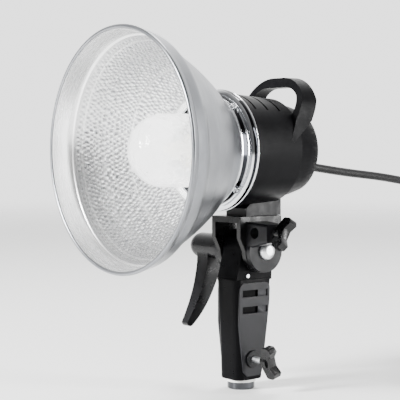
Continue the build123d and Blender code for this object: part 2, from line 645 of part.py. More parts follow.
SCREW_PLACES = [(15, 92), (-9, 92), (3.5, 66)]
with BuildPart() as grip_right:
    add(grip_blank.part)
    split(bisect_by=Plane.YZ, keep=Keep.BOTTOM)
    for screw_y, screw_z in SCREW_PLACES:
        bar_x(SCREW_HEAD_R, -16, -SCREW_SEAT_X, screw_y, screw_z, mode=Mode.SUBTRACT)
save(grip_right, "grip_right")

with BuildPart() as grip_screws:
    for screw_y, screw_z in SCREW_PLACES:
        bar_x(SCREW_HEAD_R, -14.0, -SCREW_SEAT_X, screw_y, screw_z)
        with BuildSketch(side_plane(-14.2, screw_y, screw_z)) as cross:
            Rectangle(3.2, 0.8)
            Rectangle(0.8, 3.2)
        extrude(cross.sketch, amount=1.2, mode=Mode.SUBTRACT)
save(grip_screws, "grip_screws")

# A smooth pad stands 0.8 mm proud of each side of the grip, with two finger slots in it.
PAD_OUTLINE = [
    (-14.5, 97),
    (21.5, 97),
    (21, 80),
    (17.5, 52),
    (12.5, 16),
    (9, 12.5),
    (-5, 12.5),
    (-10, 17),
    (-14.8, 60),
]


def side_pad(side):
    """The pad on the left (+1) or right (-1) side of the grip."""
    with BuildSketch(side_plane(0)) as pad_face:
        with BuildLine():
            Polyline(*PAD_OUTLINE, close=True)
        make_face()
        fillet(pad_face.vertices().group_by(Axis.Y)[-1], radius=6)
    extrude(pad_face.sketch, amount=side * PAD_DEPTH)
    outer_faces = []
    for level, width, depth, middle_y, corner in (
        (GRIP_LOW - 1, 29.6, 41.0, 0.5, 7.0),
        (GRIP_TOP, 31.0, 54.0, 3.5, 6.0),
    ):
        with BuildSketch(Plane.XY.offset(level)) as outer:
            with Locations((0, middle_y)):
                RectangleRounded(width, depth, corner)
        outer_faces.append(outer.sketch.faces()[0])
    loft(outer_faces, mode=Mode.INTERSECT)
    finger_slots()


with BuildPart() as side_pad_left:
    side_pad(1)
    add(grip_blank.part, mode=Mode.SUBTRACT)
    with BuildSketch(side_plane(-1)) as body_side:
        with Locations((3, 55)):
            Rectangle(70, 120)
    extrude(body_side.sketch, amount=BODY_SIDE_X + 1, mode=Mode.SUBTRACT)
    bar_x(PAD_HOLE_R, 8, 20, SCREW_Y, STAND_Z, mode=Mode.SUBTRACT)
save(side_pad_left, "side_pad_left")

with BuildPart() as side_pad_right:
    side_pad(-1)
    add(grip_blank.part, mode=Mode.SUBTRACT)
    with BuildSketch(side_plane(1)) as body_side:
        with Locations((3, 55)):
            Rectangle(70, 120)
    extrude(body_side.sketch, amount=-BODY_SIDE_X - 1, mode=Mode.SUBTRACT)
    for screw_y, screw_z in SCREW_PLACES:
        bar_x(SCREW_HEAD_R + 0.6, -18, -12, screw_y, screw_z, mode=Mode.SUBTRACT)
save(side_pad_right, "side_pad_right")

with BuildPart() as socket_sleeve:
    bar_z(SLEEVE_R, 0, SLEEVE_TOP, 0, 0)
    bar_z(SOCKET_R, -1, SOCKET_DEPTH, 0, 0, mode=Mode.SUBTRACT)
    chamfer(socket_sleeve.edges().group_by(Axis.Z)[0].sort_by(SortBy.RADIUS)[-1], length=0.8)
    bar_x(PAD_R + RUN, 0, 20, SCREW_Y, STAND_Z, mode=Mode.SUBTRACT)
save(socket_sleeve, "socket_sleeve")

with BuildPart() as sleeve_ring:
    with BuildSketch(Plane.XY.offset(GRIP_LOW - 2.4)):
        Circle(13.6)
        Circle(SLEEVE_R, mode=Mode.SUBTRACT)
    extrude(amount=2.4)
save(sleeve_ring, "sleeve_ring")

with BuildPart() as clamp_bush:
    bar_x(BUSH_R, 12.6, 16, SCREW_Y, STAND_Z)
    bar_x(7.6, 15, 17, SCREW_Y, STAND_Z)
    bar_x(SCREW_R + RUN, 10, 20, SCREW_Y, STAND_Z, mode=Mode.SUBTRACT)
    bar_z(SLEEVE_R, 0, 60, 0, 0, mode=Mode.SUBTRACT)
save(clamp_bush, "clamp_bush")

with BuildPart() as stop_pin:
    bar_x(PIN_R, -PIN_HALF, PIN_HALF, PIN_Y, PIN_Z)
    chamfer(stop_pin.edges(), length=0.4)
save(stop_pin, "stop_pin")

with BuildPart() as friction_discs:
    for disc_x in (TONGUE_HALF, -EAR_IN + 0.15):
        bar_x(16.0, disc_x, disc_x + EAR_IN - TONGUE_HALF - 0.15, PIVOT_Y, PIVOT_Z)
    bar_x(AXLE_R, -EAR_IN, EAR_IN, PIVOT_Y, PIVOT_Z, mode=Mode.SUBTRACT)
save(friction_discs, "friction_discs")

with BuildPart() as tilt_axle:
    bar_x(AXLE_R, -50, DISC_OUT + 1, PIVOT_Y, PIVOT_Z)
    bar_x(AXLE_HEAD_R, DISC_OUT + 0.2, DISC_OUT + 5.4, PIVOT_Y, PIVOT_Z)
    fillet(tilt_axle.edges().group_by(Axis.X)[-1], radius=4.6)
save(tilt_axle, "tilt_axle")

# ---------------------------------------------------------------- tilt lever
LEVER_MIDDLE = -53.0
with BuildPart() as tilt_lever:
    with BuildSketch(side_plane(-61)):
        with BuildLine():
            Spline((PIVOT_Y - HUB_R + 1, PIVOT_Z), (-3, 112), (-8.5, 88), (-24, 56))
            ThreePointArc((-24, 56), (-21.5, 52.6), (-17, 53.6))
            Spline((-17, 53.6), (5, 84), (14, 108), (PIVOT_Y + HUB_R - 1, PIVOT_Z))
            Line((PIVOT_Y + HUB_R - 1, PIVOT_Z), (PIVOT_Y - HUB_R + 1, PIVOT_Z))
        make_face()
    extrude(amount=16)
    with BuildSketch(front_plane(40)):
        with BuildLine():
            Polyline(
                (LEVER_MIDDLE - 8, 130),
                (LEVER_MIDDLE - 7.6, 100),
                (LEVER_MIDDLE - 4, 50),
                (LEVER_MIDDLE + 4, 50),
                (LEVER_MIDDLE + 7.6, 100),
                (LEVER_MIDDLE + 8, 130),
                close=True,
            )
        make_face()
    extrude(amount=80, mode=Mode.INTERSECT)
    bar_x(HUB_R, HUB_OUT, HUB_IN, PIVOT_Y, PIVOT_Z)
    with Locations((HUB_OUT, PIVOT_Y, PIVOT_Z)):
        Sphere(HUB_R)
    bar_x(NUT_R, NUT_OUT, HUB_IN + 1, PIVOT_Y, PIVOT_Z, mode=Mode.SUBTRACT)
    bar_x(AXLE_R + RUN, -51, HUB_IN, PIVOT_Y, PIVOT_Z, mode=Mode.SUBTRACT)
save(tilt_lever, "tilt_lever")

with BuildPart() as lever_nut:
    bar_x(NUT_R, NUT_OUT, HUB_IN - 0.6, PIVOT_Y, PIVOT_Z)
    bar_x(AXLE_R + RUN, -47, HUB_IN, PIVOT_Y, PIVOT_Z, mode=Mode.SUBTRACT)
save(lever_nut, "lever_nut")


# ---------------------------------------------------------------- wing knobs
WING_HALF = 4.2  # half of a blade's thickness


def wing(x_root, z, lean):
    """A butterfly knob on an X screw. lean is its angle from upright, top backwards."""
    long_way = (0, sin(radians(lean)), cos(radians(lean)))
    thin_way = (0, cos(radians(lean)), -sin(radians(lean)))
    bar_x(6.0, x_root, x_root + 7, SCREW_Y, z)
    with BuildSketch(Plane(origin=(x_root, SCREW_Y, z), x_dir=long_way, z_dir=thin_way)) as blade_face:
        with BuildLine():
            Polyline(
                (-6, 0.5), (-14.5, 4.5), (-14.5, 12.5), (-10, 15), (-4, 10.5), (4, 10.5), (10, 15), (14.5, 12.5),
                (14.5, 4.5), (6, 0.5), close=True,
            )
        make_face()
        fillet(blade_face.vertices().group_by(Axis.X)[0], radius=2.8)
        fillet(blade_face.vertices().group_by(Axis.X)[-1], radius=2.8)
    extrude(blade_face.sketch, amount=WING_HALF, both=True)


STAND_WING_X, UMBRELLA_WING_X = 31.0, 48.0
with BuildPart() as stand_wing:
    wing(STAND_WING_X, STAND_Z, -16)
    bar_x(SCREW_R, STAND_WING_X - 1, STAND_WING_X + 5, SCREW_Y, STAND_Z, mode=Mode.SUBTRACT)
save(stand_wing, "stand_wing")

with BuildPart() as stand_screw:
    bar_x(SCREW_R, 11.9, STAND_WING_X + 5, SCREW_Y, STAND_Z)
save(stand_screw, "stand_screw")

with BuildPart() as clamp_shoe:
    bar_x(PAD_R, 7.0, 11.8, SCREW_Y, STAND_Z)
    bar_z(SOCKET_R + 0.15, 10, 50, 0, 0, mode=Mode.SUBTRACT)
save(clamp_shoe, "clamp_shoe")

with BuildPart() as umbrella_wing:
    wing(UMBRELLA_WING_X, UMBRELLA_Z, 30)
    bar_x(SCREW_R, UMBRELLA_WING_X - 1, UMBRELLA_WING_X + 5, SCREW_Y, UMBRELLA_Z, mode=Mode.SUBTRACT)
save(umbrella_wing, "umbrella_wing")

with BuildPart() as umbrella_screw:
    bar_x(SCREW_R, UMBRELLA_X + 8.6, UMBRELLA_WING_X + 5, SCREW_Y, UMBRELLA_Z)
save(umbrella_screw, "umbrella_screw")

with BuildPart() as umbrella_pad:
    bar_x(PAD_R, UMBRELLA_X + UMBRELLA_R + 0.2, UMBRELLA_X + 8.4, SCREW_Y, UMBRELLA_Z)
save(umbrella_pad, "umbrella_pad")

# ---------------------------------------------------------------- mains lead
# The lead leaves the rear cap, runs back nearly straight, drops to the floor and is coiled there.
CORD_ROUTE = [
    (0, 84, 201),
    (0, 128, 195),
    (0, 184, 190),
    (-2, 240, 182),
    (-7, 287, 154),
    (-10, 312, 104),
    (-8, 310, 56),
    (8, 307.5, 28),
    (33, 306.5, 12.3),
    (57.6, 304.9, 12.3),
]
TAIL_ROUTE = [(100, 258, 4.2), (101, 236, 5), (104, 216, 9.5), (106, 200, 13)]
COIL_X, COIL_Y, COIL_IN, COIL_OUT, COIL_HEIGHT = 47.0, 256.0, 26.0, 55.0, 16.4


def corner_radii(route):
    """The largest tidy bend radius at each inner point of a route."""
    radii = []
    for before, here, after in zip(route, route[1:], route[2:]):
        arriving = Vector(*here) - Vector(*before)
        leaving = Vector(*after) - Vector(*here)
        half_turn = radians(arriving.get_angle(leaving)) / 2
        radii.append(0.45 * min(arriving.length, leaving.length) / tan(half_turn))
    return radii


def lead(route, name):
    """Sweep the lead's round section along a route of straight runs and tangent arcs."""
    radii = corner_radii(route)
    with BuildLine() as path:
        FilletPolyline(*route, radius=radii)
    start = Vector(*route[0])
    with BuildSketch(Plane(origin=start, z_dir=Vector(*route[1]) - start)) as section:
        Circle(CORD_R)
    sweep(section.sketch, path=path.line)
    length = sum(edge.length for edge in path.edges())
    print(name, "radii", [round(value) for value in radii], "length", round(length, 1))


with BuildPart() as power_cord:
    lead(CORD_ROUTE, "power_cord")
save(power_cord, "power_cord")
print("power_cord volume", power_cord.part.volume, "section", pi * CORD_R**2)

with BuildPart() as cord_tail:
    lead(TAIL_ROUTE, "cord_tail")
save(cord_tail, "cord_tail")

with BuildPart() as cord_coil:
    with BuildSketch(Plane(origin=(COIL_X, COIL_Y, 0))):
        Circle(COIL_OUT)
        Circle(COIL_IN, mode=Mode.SUBTRACT)
    extrude(amount=COIL_HEIGHT)
    fillet(cord_coil.edges(), radius=3.5)
save(cord_coil, "cord_coil")

with BuildPart() as cord_gland:
    exit_way = Vector(*CORD_ROUTE[1]) - Vector(*CORD_ROUTE[0])
    with BuildSketch(front_plane(CAP_INSIDE - 2, 0, GLAND_Z)) as gland_root:
        Circle(GLAND_R)
    extrude(gland_root.sketch, amount=-(CAP_WALL + 4))
    with BuildSketch(Plane(origin=(0, CAP_FACE + 2, GLAND_Z), z_dir=(0, 1, 0))) as gland_neck:
        Circle(GLAND_R)
    with BuildSketch(Plane(origin=CORD_ROUTE[0], z_dir=exit_way)) as gland_tip:
        Circle(4.7)
    loft([gland_neck.sketch.faces()[0], gland_tip.sketch.faces()[0]])
save(cord_gland, "cord_gland")

PLUG_X, PLUG_Z, PLUG_TAIL_Y = 106.0, 13.0, 200.0
PLUG_WAIST_Y, PLUG_WIDTH, PLUG_HEIGHT, PLUG_CORNER = 164, 36, 25, 8
with BuildPart() as plug_body:
    for plug_y, width, height in ((PLUG_WAIST_Y, PLUG_WIDTH, PLUG_HEIGHT), (180, 30, 22)):
        with BuildSketch(front_plane(plug_y, PLUG_X, PLUG_Z)):
            RectangleRounded(width, height, PLUG_CORNER)
    loft()
    with BuildSketch(front_plane(PLUG_WAIST_Y, PLUG_X, PLUG_Z)) as plug_face:
        RectangleRounded(PLUG_WIDTH, PLUG_HEIGHT, PLUG_CORNER)
    extrude(plug_face.sketch, amount=16)
    bar_y(6.0, 180, PLUG_TAIL_Y, PLUG_X, PLUG_Z)
save(plug_body, "plug_body")

PLUG_PIN_R, PLUG_PIN_HALF, PLUG_FRONT, PLUG_PIN_LENGTH = 2.4, 9.5, 148.0, 19.0
with BuildPart() as plug_pins:
    for pin_x in (PLUG_X - PLUG_PIN_HALF, PLUG_X + PLUG_PIN_HALF):
        bar_y(PLUG_PIN_R, PLUG_FRONT - PLUG_PIN_LENGTH, PLUG_FRONT, pin_x, PLUG_Z)
save(plug_pins, "plug_pins")
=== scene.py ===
"""Monolight studio strobe: dish reflector, barrel with handle, yoke, grip and mains lead.

Lengths in the classes are millimetres in the lamp's own frame: +Z is up, -Y is the way the
light goes and +X is the lamp's left. Meshes are written in metres.
"""

from __future__ import annotations

import json
import logging
import math
from collections.abc import Callable, Iterable, Sequence
from dataclasses import dataclass, field
from enum import Enum

import bmesh
import bpy
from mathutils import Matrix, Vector, noise

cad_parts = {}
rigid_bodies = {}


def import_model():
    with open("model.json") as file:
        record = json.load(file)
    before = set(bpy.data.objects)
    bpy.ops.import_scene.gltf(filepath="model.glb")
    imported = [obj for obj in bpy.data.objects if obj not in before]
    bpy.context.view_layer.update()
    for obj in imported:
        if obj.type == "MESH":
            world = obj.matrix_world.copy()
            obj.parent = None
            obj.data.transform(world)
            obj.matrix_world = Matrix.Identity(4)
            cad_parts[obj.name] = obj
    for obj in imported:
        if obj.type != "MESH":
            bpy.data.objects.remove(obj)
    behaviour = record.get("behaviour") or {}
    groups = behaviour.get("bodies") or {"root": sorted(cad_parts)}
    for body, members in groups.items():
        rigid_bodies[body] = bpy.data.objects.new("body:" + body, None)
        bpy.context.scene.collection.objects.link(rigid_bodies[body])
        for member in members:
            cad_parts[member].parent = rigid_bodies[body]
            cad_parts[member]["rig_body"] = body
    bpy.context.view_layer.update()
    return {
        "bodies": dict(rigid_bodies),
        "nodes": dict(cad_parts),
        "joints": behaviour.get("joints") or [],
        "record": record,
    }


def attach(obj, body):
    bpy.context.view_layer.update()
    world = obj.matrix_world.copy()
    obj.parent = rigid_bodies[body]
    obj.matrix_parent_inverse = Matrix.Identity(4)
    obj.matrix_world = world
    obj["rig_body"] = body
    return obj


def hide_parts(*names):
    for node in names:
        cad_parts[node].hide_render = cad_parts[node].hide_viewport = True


LOG = logging.getLogger("strobe")
MM = 0.001
HEAD_Z = 216.0  # height of the lamp axis
LAMP_AXIS_POINT = Vector((0.0, 0.0, HEAD_Z))
ALONG_Y = Vector((0.0, 1.0, 0.0))
ALONG_Z = Vector((0.0, 0.0, 1.0))
COLLAR_BORE_R = 44.5
BAND_STEPS = 160  # facets round the chromed collar and ring
CREASE_DEG = 35.0  # edges sharper than this are drawn sharp and rounded
FLAT_DEG = 0.6  # CAD facets flatter than this are merged
WELD_M = 1e-6
CAD_WELD_M = 2e-6
NOISE_ROUGHNESS = 0.55
NOISE_SPAN = (0.3, 0.7)  # where nearly all of the noise's values lie
Profile = Sequence[tuple[float, float]]


# ------------------------------------------------------------------ colour and shader nodes
def linear(hex_code: str) -> tuple[float, float, float, float]:
    """Turn an sRGB hex colour into the linear values that a shader takes.

    Args:
        hex_code: Six hexadecimal digits, with or without a leading hash.

    Returns:
        Red, green, blue and an alpha of one.
    """
    digits = hex_code.lstrip("#")
    channels = []
    for start in (0, 2, 4):
        value = int(digits[start : start + 2], 16) / 255
        channels.append(value / 12.92 if value <= 0.04045 else ((value + 0.055) / 1.055) ** 2.4)
    return (channels[0], channels[1], channels[2], 1.0)


def add_node(
    tree: bpy.types.NodeTree,
    kind: str,
    settings: dict[str, object] | None = None,
    values: dict[str | int, object] | None = None,
    links: dict[str | int, bpy.types.NodeSocket] | None = None,
) -> bpy.types.Node:
    """Add one shader node with its settings, socket values and incoming links.

    Args:
        tree: The material's node tree.
        kind: The node's type name.
        settings: Attributes of the node itself.
        values: Defaults of its input sockets.
        links: Output sockets that feed its inputs.

    Returns:
        The new node.
    """
    made = tree.nodes.new(kind)
    for name, value in (settings or {}).items():
        setattr(made, name, value)
    for socket, value in (values or {}).items():
        made.inputs[socket].default_value = value
    for socket, source in (links or {}).items():
        tree.links.new(source, made.inputs[socket])
    return made


# ------------------------------------------------------------------ finishes
@dataclass(frozen=True)
class Finish:
    """A surface finish: what the part is made of and how its face was worked."""

    name: str
    colour: str
    roughness: float = 0.5

    def material(self) -> bpy.types.Material:
        """Make this finish's material, or return it if it exists."""
        known = bpy.data.materials.get(self.name)
        if known:
            return known
        made = bpy.data.materials.new(self.name)
        made.use_nodes = True
        made.node_tree.nodes.clear()
        shader = add_node(made.node_tree, "ShaderNodeBsdfPrincipled")
        out = add_node(made.node_tree, "ShaderNodeOutputMaterial")
        made.node_tree.links.new(shader.outputs["BSDF"], out.inputs["Surface"])
        coords = add_node(made.node_tree, "ShaderNodeTexCoord").outputs["Object"]
        self.dress(made.node_tree, shader, coords)
        made.diffuse_color = linear(self.colour)
        return made

    def dress(
        self, tree: bpy.types.NodeTree, shader: bpy.types.Node, coords: bpy.types.NodeSocket
    ) -> None:
        """Set the shader's base colour and roughness; the finishes built on this one also wire
        patterns.

        Args:
            tree: The material's node tree; not used here.
            shader: Its principled shader.
            coords: Object coordinates; not used here.
        """
        shader.inputs["Base Color"].default_value = linear(self.colour)
        shader.inputs["Roughness"].default_value = self.roughness

    def mottle(
        self,
        tree: bpy.types.NodeTree,
        coords: bpy.types.NodeSocket,
        size_mm: float,
        low: float,
        high: float,
        detail: float = 3.0,
    ) -> bpy.types.NodeSocket:
        """A soft random value between two limits.

        Args:
            tree: The material's node tree.
            coords: The coordinates it is drawn in.
            size_mm: Real width of its blotches.
            low: Value at the darkest.
            high: Value at the lightest.
            detail: Octaves of finer noise.

        Returns:
            The value's socket.
        """
        blotches = add_node(
            tree,
            "ShaderNodeTexNoise",
            values={
                "Scale": 1 / (size_mm * MM),
                "Detail": detail,
                "Roughness": NOISE_ROUGHNESS,
            },
            links={"Vector": coords},
        )
        ranged = add_node(
            tree,
            "ShaderNodeMapRange",
            values={
                "From Min": NOISE_SPAN[0],
                "From Max": NOISE_SPAN[1],
                "To Min": low,
                "To Max": high,
            },
            links={"Value": blotches.outputs["Fac"]},
        )
        return ranged.outputs["Result"]

    def tinted(
        self,
        tree: bpy.types.NodeTree,
        value: bpy.types.NodeSocket,
        dark: str,
        light: str,
    ) -> bpy.types.NodeSocket:
        """Mix two colours by a value.

        Args:
            tree: The material's node tree.
            value: Zero for dark, one for light.
            dark: Hex colour at zero.
            light: Hex colour at one.

        Returns:
            The colour's socket.
        """
        mix = add_node(
            tree, "ShaderNodeMix", settings={"data_type": "RGBA"}, links={"Factor": value}
        )
        mix.inputs["A"].default_value = linear(dark)
        mix.inputs["B"].default_value = linear(light)
        return mix.outputs["Result"]

    def raise_grain(
        self,
        tree: bpy.types.NodeTree,
        shader: bpy.types.Node,
        height: bpy.types.NodeSocket,
        strength: float,
        depth_mm: float,
    ) -> None:
        """Bump the shader's normal by a height pattern.

        Args:
            tree: The material's node tree.
            shader: Its principled shader.
            height: The pattern, from zero to one.
            strength: Share of the bump that is kept.
            depth_mm: Real depth between zero and one.
        """
        bump = add_node(
            tree,
            "ShaderNodeBump",
            values={"Strength": strength, "Distance": depth_mm * MM},
            links={"Height": height},
        )
        tree.links.new(bump.outputs["Normal"], shader.inputs["Normal"])


@dataclass(frozen=True)
class MouldedPlastic(Finish):
    """Injection-moulded ABS or nylon: an even dark body under a fine spark-eroded grain."""

    light: str = "#2a2a2c"
    grain_mm: float = 0.7  # real grain is nearer 0.1 mm, drawn coarser so that it shows
    grain_depth_mm: float = 0.03
    gloss_spread: float = 0.08
    coat: float = 0.0
    shine: float = 0.22  # share of the usual mirror reflection that the fine grain leaves
    tone_mm: float = 22.0
    gloss_mm: float = 9.0
    grain_strength: float = 0.35
    ior: float = 1.5
    coat_roughness: float = 0.12

    def dress(
        self, tree: bpy.types.NodeTree, shader: bpy.types.Node, coords: bpy.types.NodeSocket
    ) -> None:
        """Wire grain, slight tone drift and uneven gloss."""
        drift = self.mottle(tree, coords, self.tone_mm, 0.0, 1.0)
        tone = self.tinted(tree, drift, self.colour, self.light)
        tree.links.new(tone, shader.inputs["Base Color"])
        least, most = self.roughness - self.gloss_spread, self.roughness + self.gloss_spread
        gloss = self.mottle(tree, coords, self.gloss_mm, least, most)
        tree.links.new(gloss, shader.inputs["Roughness"])
        grain = self.mottle(tree, coords, self.grain_mm, 0.0, 1.0, detail=1.0)
        self.raise_grain(tree, shader, grain, self.grain_strength, self.grain_depth_mm)
        shader.inputs["IOR"].default_value = self.ior
        shader.inputs["Specular IOR Level"].default_value = self.shine
        shader.inputs["Coat Weight"].default_value = self.coat
        shader.inputs["Coat Roughness"].default_value = self.coat_roughness


@dataclass(frozen=True)
class PlatedMetal(Finish):
    """Nickel or chromium plate on turned metal: mirror-like, with faint handling haze."""

    haze: float = 0.05
    haze_mm: float = 12.0

    def dress(
        self, tree: bpy.types.NodeTree, shader: bpy.types.Node, coords: bpy.types.NodeSocket
    ) -> None:
        """Wire the metal with an uneven haze."""
        shader.inputs["Base Color"].default_value = linear(self.colour)
        shader.inputs["Metallic"].default_value = 1.0
        gloss = self.mottle(
            tree, coords, self.haze_mm, self.roughness, self.roughness + self.haze
        )
        tree.links.new(gloss, shader.inputs["Roughness"])


@dataclass(frozen=True)
class LathedMetal(Finish):
    """Metal worked on a lathe: a satin face with fine rings about the lamp axis."""

    light: str = "#d8dade"
    ring_mm: float = 0.8  # tool marks are nearer 0.2 mm, drawn coarser so that they show
    ring_depth_mm: float = 0.02
    metallic: float = 1.0
    tone_mm: float = 35.0
    gloss_mm: float = 2.5
    gloss_spread: float = 0.05
    ring_strength: float = 0.3

    def dress(
        self, tree: bpy.types.NodeTree, shader: bpy.types.Node, coords: bpy.types.NodeSocket
    ) -> None:
        """Wire rings that depend only on the distance from the axis and along it."""
        parts = add_node(tree, "ShaderNodeSeparateXYZ", links={"Vector": coords})
        across = add_node(
            tree,
            "ShaderNodeCombineXYZ",
            links={"X": parts.outputs["X"], "Y": parts.outputs["Z"]},
        )
        centred = add_node(
            tree,
            "ShaderNodeVectorMath",
            settings={"operation": "SUBTRACT"},
            values={1: (0.0, HEAD_Z * MM, 0.0)},
            links={0: across.outputs["Vector"]},
        )
        radius = add_node(
            tree,
            "ShaderNodeVectorMath",
            settings={"operation": "LENGTH"},
            links={0: centred.outputs["Vector"]},
        )
        rings = add_node(
            tree,
            "ShaderNodeCombineXYZ",
            links={"X": radius.outputs["Value"], "Y": parts.outputs["Y"]},
        )
        marks = self.mottle(tree, rings.outputs["Vector"], self.ring_mm, 0.0, 1.0, detail=2.0)
        drift = self.mottle(tree, coords, self.tone_mm, 0.0, 1.0)
        tone = self.tinted(tree, drift, self.colour, self.light)
        tree.links.new(tone, shader.inputs["Base Color"])
        least, most = self.roughness - self.gloss_spread, self.roughness + self.gloss_spread
        gloss = self.mottle(tree, rings.outputs["Vector"], self.gloss_mm, least, most)
        tree.links.new(gloss, shader.inputs["Roughness"])
        self.raise_grain(tree, shader, marks, self.ring_strength, self.ring_depth_mm)
        shader.inputs["Metallic"].default_value = self.metallic


@dataclass(frozen=True)
class HammeredMetal(LathedMetal):
    """Bright sheet with a pressed dimple pattern; painted shade darkens its hollows below the
    crests.
    """

    # painted shade colour at the bottom of each dimple
    hollow_painted_shade: str = "#83868a"

    def dress(
        self, tree: bpy.types.NodeTree, shader: bpy.types.Node, coords: bpy.types.NodeSocket
    ) -> None:
        """Wire the sheet and paint shade into its dimple hollows by the mesh's own shading value.
        """
        LathedMetal.dress(self, tree, shader, coords)
        crest = add_node(tree, "ShaderNodeAttribute", settings={"attribute_name": "crest"})
        tone = self.tinted(tree, crest.outputs["Fac"], self.hollow_painted_shade, self.light)
        tree.links.new(tone, shader.inputs["Base Color"])


@dataclass(frozen=True)
class BlownGlass(Finish):
    """Borosilicate glass with a light frost: clear body, softly scattering skin."""

    transmission: float = 0.9
    painted_glow: float = 0.0  # painted glow of the glass itself, which whitens the dome and lights the dish
    ior: float = 1.47
    wave_mm: float = 7.0
    wave_depth_mm: float = 1.2
    wave_strength: float = 0.8

    def dress(
        self, tree: bpy.types.NodeTree, shader: bpy.types.Node, coords: bpy.types.NodeSocket
    ) -> None:
        """Wire the glass with slightly wavy walls."""
        shader.inputs["Base Color"].default_value = linear(self.colour)
        shader.inputs["Roughness"].default_value = self.roughness
        shader.inputs["IOR"].default_value = self.ior
        shader.inputs["Transmission Weight"].default_value = self.transmission
        shader.inputs["Emission Color"].default_value = linear("#ffffff")
        shader.inputs["Emission Strength"].default_value = self.painted_glow
        waves = self.mottle(tree, coords, self.wave_mm, 0.0, 1.0, detail=1.0)
        self.raise_grain(tree, shader, waves, self.wave_strength, self.wave_depth_mm)


class Stock(Enum):
    """The finishes this lamp is built from."""

    SPUN = LathedMetal("Spun_aluminium", "#808286", 0.32, "#96989c")
    HAMMERED = HammeredMetal(
        "Hammered_aluminium", "#f2f3f3", 0.26, "#ffffff", ring_depth_mm=0.008, metallic=0.88
    )
    CHROME = PlatedMetal("Bright_chromium", "#dfe1e4", 0.06)
    # chrome darkened as painted shade and painted dark reflection for the recessed bands
    SHADED_CHROME = PlatedMetal("Black_chromium", "#232427", 0.05)
    # chrome darkened as painted dark reflection on the stand socket
    SHADED_LINER = PlatedMetal("Socket_liner_chromium", "#4a4b4e", 0.08)
    NICKEL = PlatedMetal("Nickel_plate", "#cfccc4", 0.16, haze=0.1)
    ZINC = PlatedMetal("Zinc_plate", "#b9bbbd", 0.32, haze=0.12)
    SILVERED = PlatedMetal("Satin_nickel", "#eceef0", 0.3, haze=0.08)
    BRASS = PlatedMetal("Turned_brass", "#c9a455", 0.25, haze=0.1)
    BLACKENED = PlatedMetal("Blackened_steel", "#2c2c2d", 0.35, haze=0.1)
    SHELL = MouldedPlastic("Grained_black_ABS", "#09090b", 0.36, "#0e0e10", shine=0.06)
    CAP = MouldedPlastic("Grained_black_ABS_cap", "#09090b", 0.4, "#0e0e10", shine=0.04)
    CAST = MouldedPlastic("Glass_filled_nylon", "#0c0c0e", 0.4, "#121215", grain_mm=0.9)
    YOKE = MouldedPlastic("Black_painted_casting", "#060607", 0.3, "#0a0a0b", grain_mm=1.1)
    GRIP = MouldedPlastic("Satin_black_ABS", "#050506", 0.34, "#08080a", shine=0.04)
    PAD = MouldedPlastic("Dark_grey_ABS", "#151518", 0.36, "#1d1d21", grain_mm=0.6)
    # painted shade on the deep floor of the finger slots
    SLOT_SHADE = MouldedPlastic("Slot_floor_black", "#030304", 0.5, "#050506", shine=0.05)
    # painted light on the shallow ramp of the finger slots
    SLOT_LIGHT = MouldedPlastic("Slot_ramp_grey", "#2c2c2f", 0.4, "#363639")
    KNOB = MouldedPlastic(
        "Gloss_black_nylon", "#070708", 0.24, "#0c0c0d", grain_depth_mm=0.012, coat=0.15
    )
    LEVER = MouldedPlastic("Smooth_black_nylon", "#0b0b0d", 0.3, "#121214", grain_depth_mm=0.015)
    RUBBER = MouldedPlastic("Black_PVC_jacket", "#0c0c0d", 0.44, "#131315", grain_mm=1.4)
    RED = MouldedPlastic("Red_acrylic", "#8d1410", 0.25, "#a01a14", grain_depth_mm=0.005, coat=0.4)
    AMBER = MouldedPlastic(
        "Amber_acrylic", "#d9781a", 0.2, "#e08c30", grain_depth_mm=0.004, coat=0.5
    )
    NYLON = MouldedPlastic("White_nylon", "#e4e4e0", 0.45, "#f0f0ec", grain_depth_mm=0.01)
    CERAMIC = MouldedPlastic("Steatite_ceramic", "#d9d3c0", 0.6, "#e8e3d4", grain_mm=1.6)
    HEAT_PLATE = LathedMetal("Heat_plate_aluminium", "#8a8b8d", 0.45, "#a2a3a5")
    # the dome glass carries a painted glow
    GLASS = BlownGlass("Frosted_dome_glass", "#ffffff", 0.04, 0.92, painted_glow=0.5)
    CLEAR = BlownGlass("Clear_tube_glass", "#f6fafb", 0.05, 0.95)
    OPAL = MouldedPlastic(
        "Opal_lamp_glass", "#f4f1e6", 0.3, "#fbf9f2", grain_depth_mm=0.005, coat=0.3
    )
    BOARD = MouldedPlastic("Green_circuit_board", "#1d4a2b", 0.4, "#245a35")
    SLEEVE = MouldedPlastic("Blue_shrink_sleeve", "#16203c", 0.3, "#1d2a4c", grain_depth_mm=0.01)
    FIBRE = MouldedPlastic("Friction_fibre", "#4c3a2c", 0.7, "#5e4938", grain_mm=1.8)


# ------------------------------------------------------------------ bench tools
def metres(x: float, y: float, z: float) -> Vector:
    """A point in millimetres as a vector in metres."""
    return Vector((x, y, z)) * MM


def put(
    bm: bmesh.types.BMesh,
    name: str,
    body: str,
    finish: Finish,
    stands_for: Iterable[str] = (),
    crease: float = CREASE_DEG,
) -> bpy.types.Object:
    """Turn a finished bmesh into a piece that rides on a body.

    Args:
        bm: The mesh, in metres; it is freed.
        name: The piece's name.
        body: The CAD body it rides on.
        finish: Its surface finish.
        stands_for: CAD nodes it replaces.
        crease: Angle in degrees past which an edge is drawn sharp.

    Returns:
        The new object.
    """
    mesh = bpy.data.meshes.new(name)
    bm.to_mesh(mesh)
    bm.free()
    mesh.shade_smooth()
    mesh.set_sharp_from_angle(angle=math.radians(crease))
    piece = bpy.data.objects.new(name, mesh)
    bpy.context.scene.collection.objects.link(piece)
    piece.data.materials.append(finish.material())
    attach(piece, body)
    if stands_for:
        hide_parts(*stands_for)
    LOG.info("%s: %d faces on %s", name, len(mesh.polygons), body)
    return piece


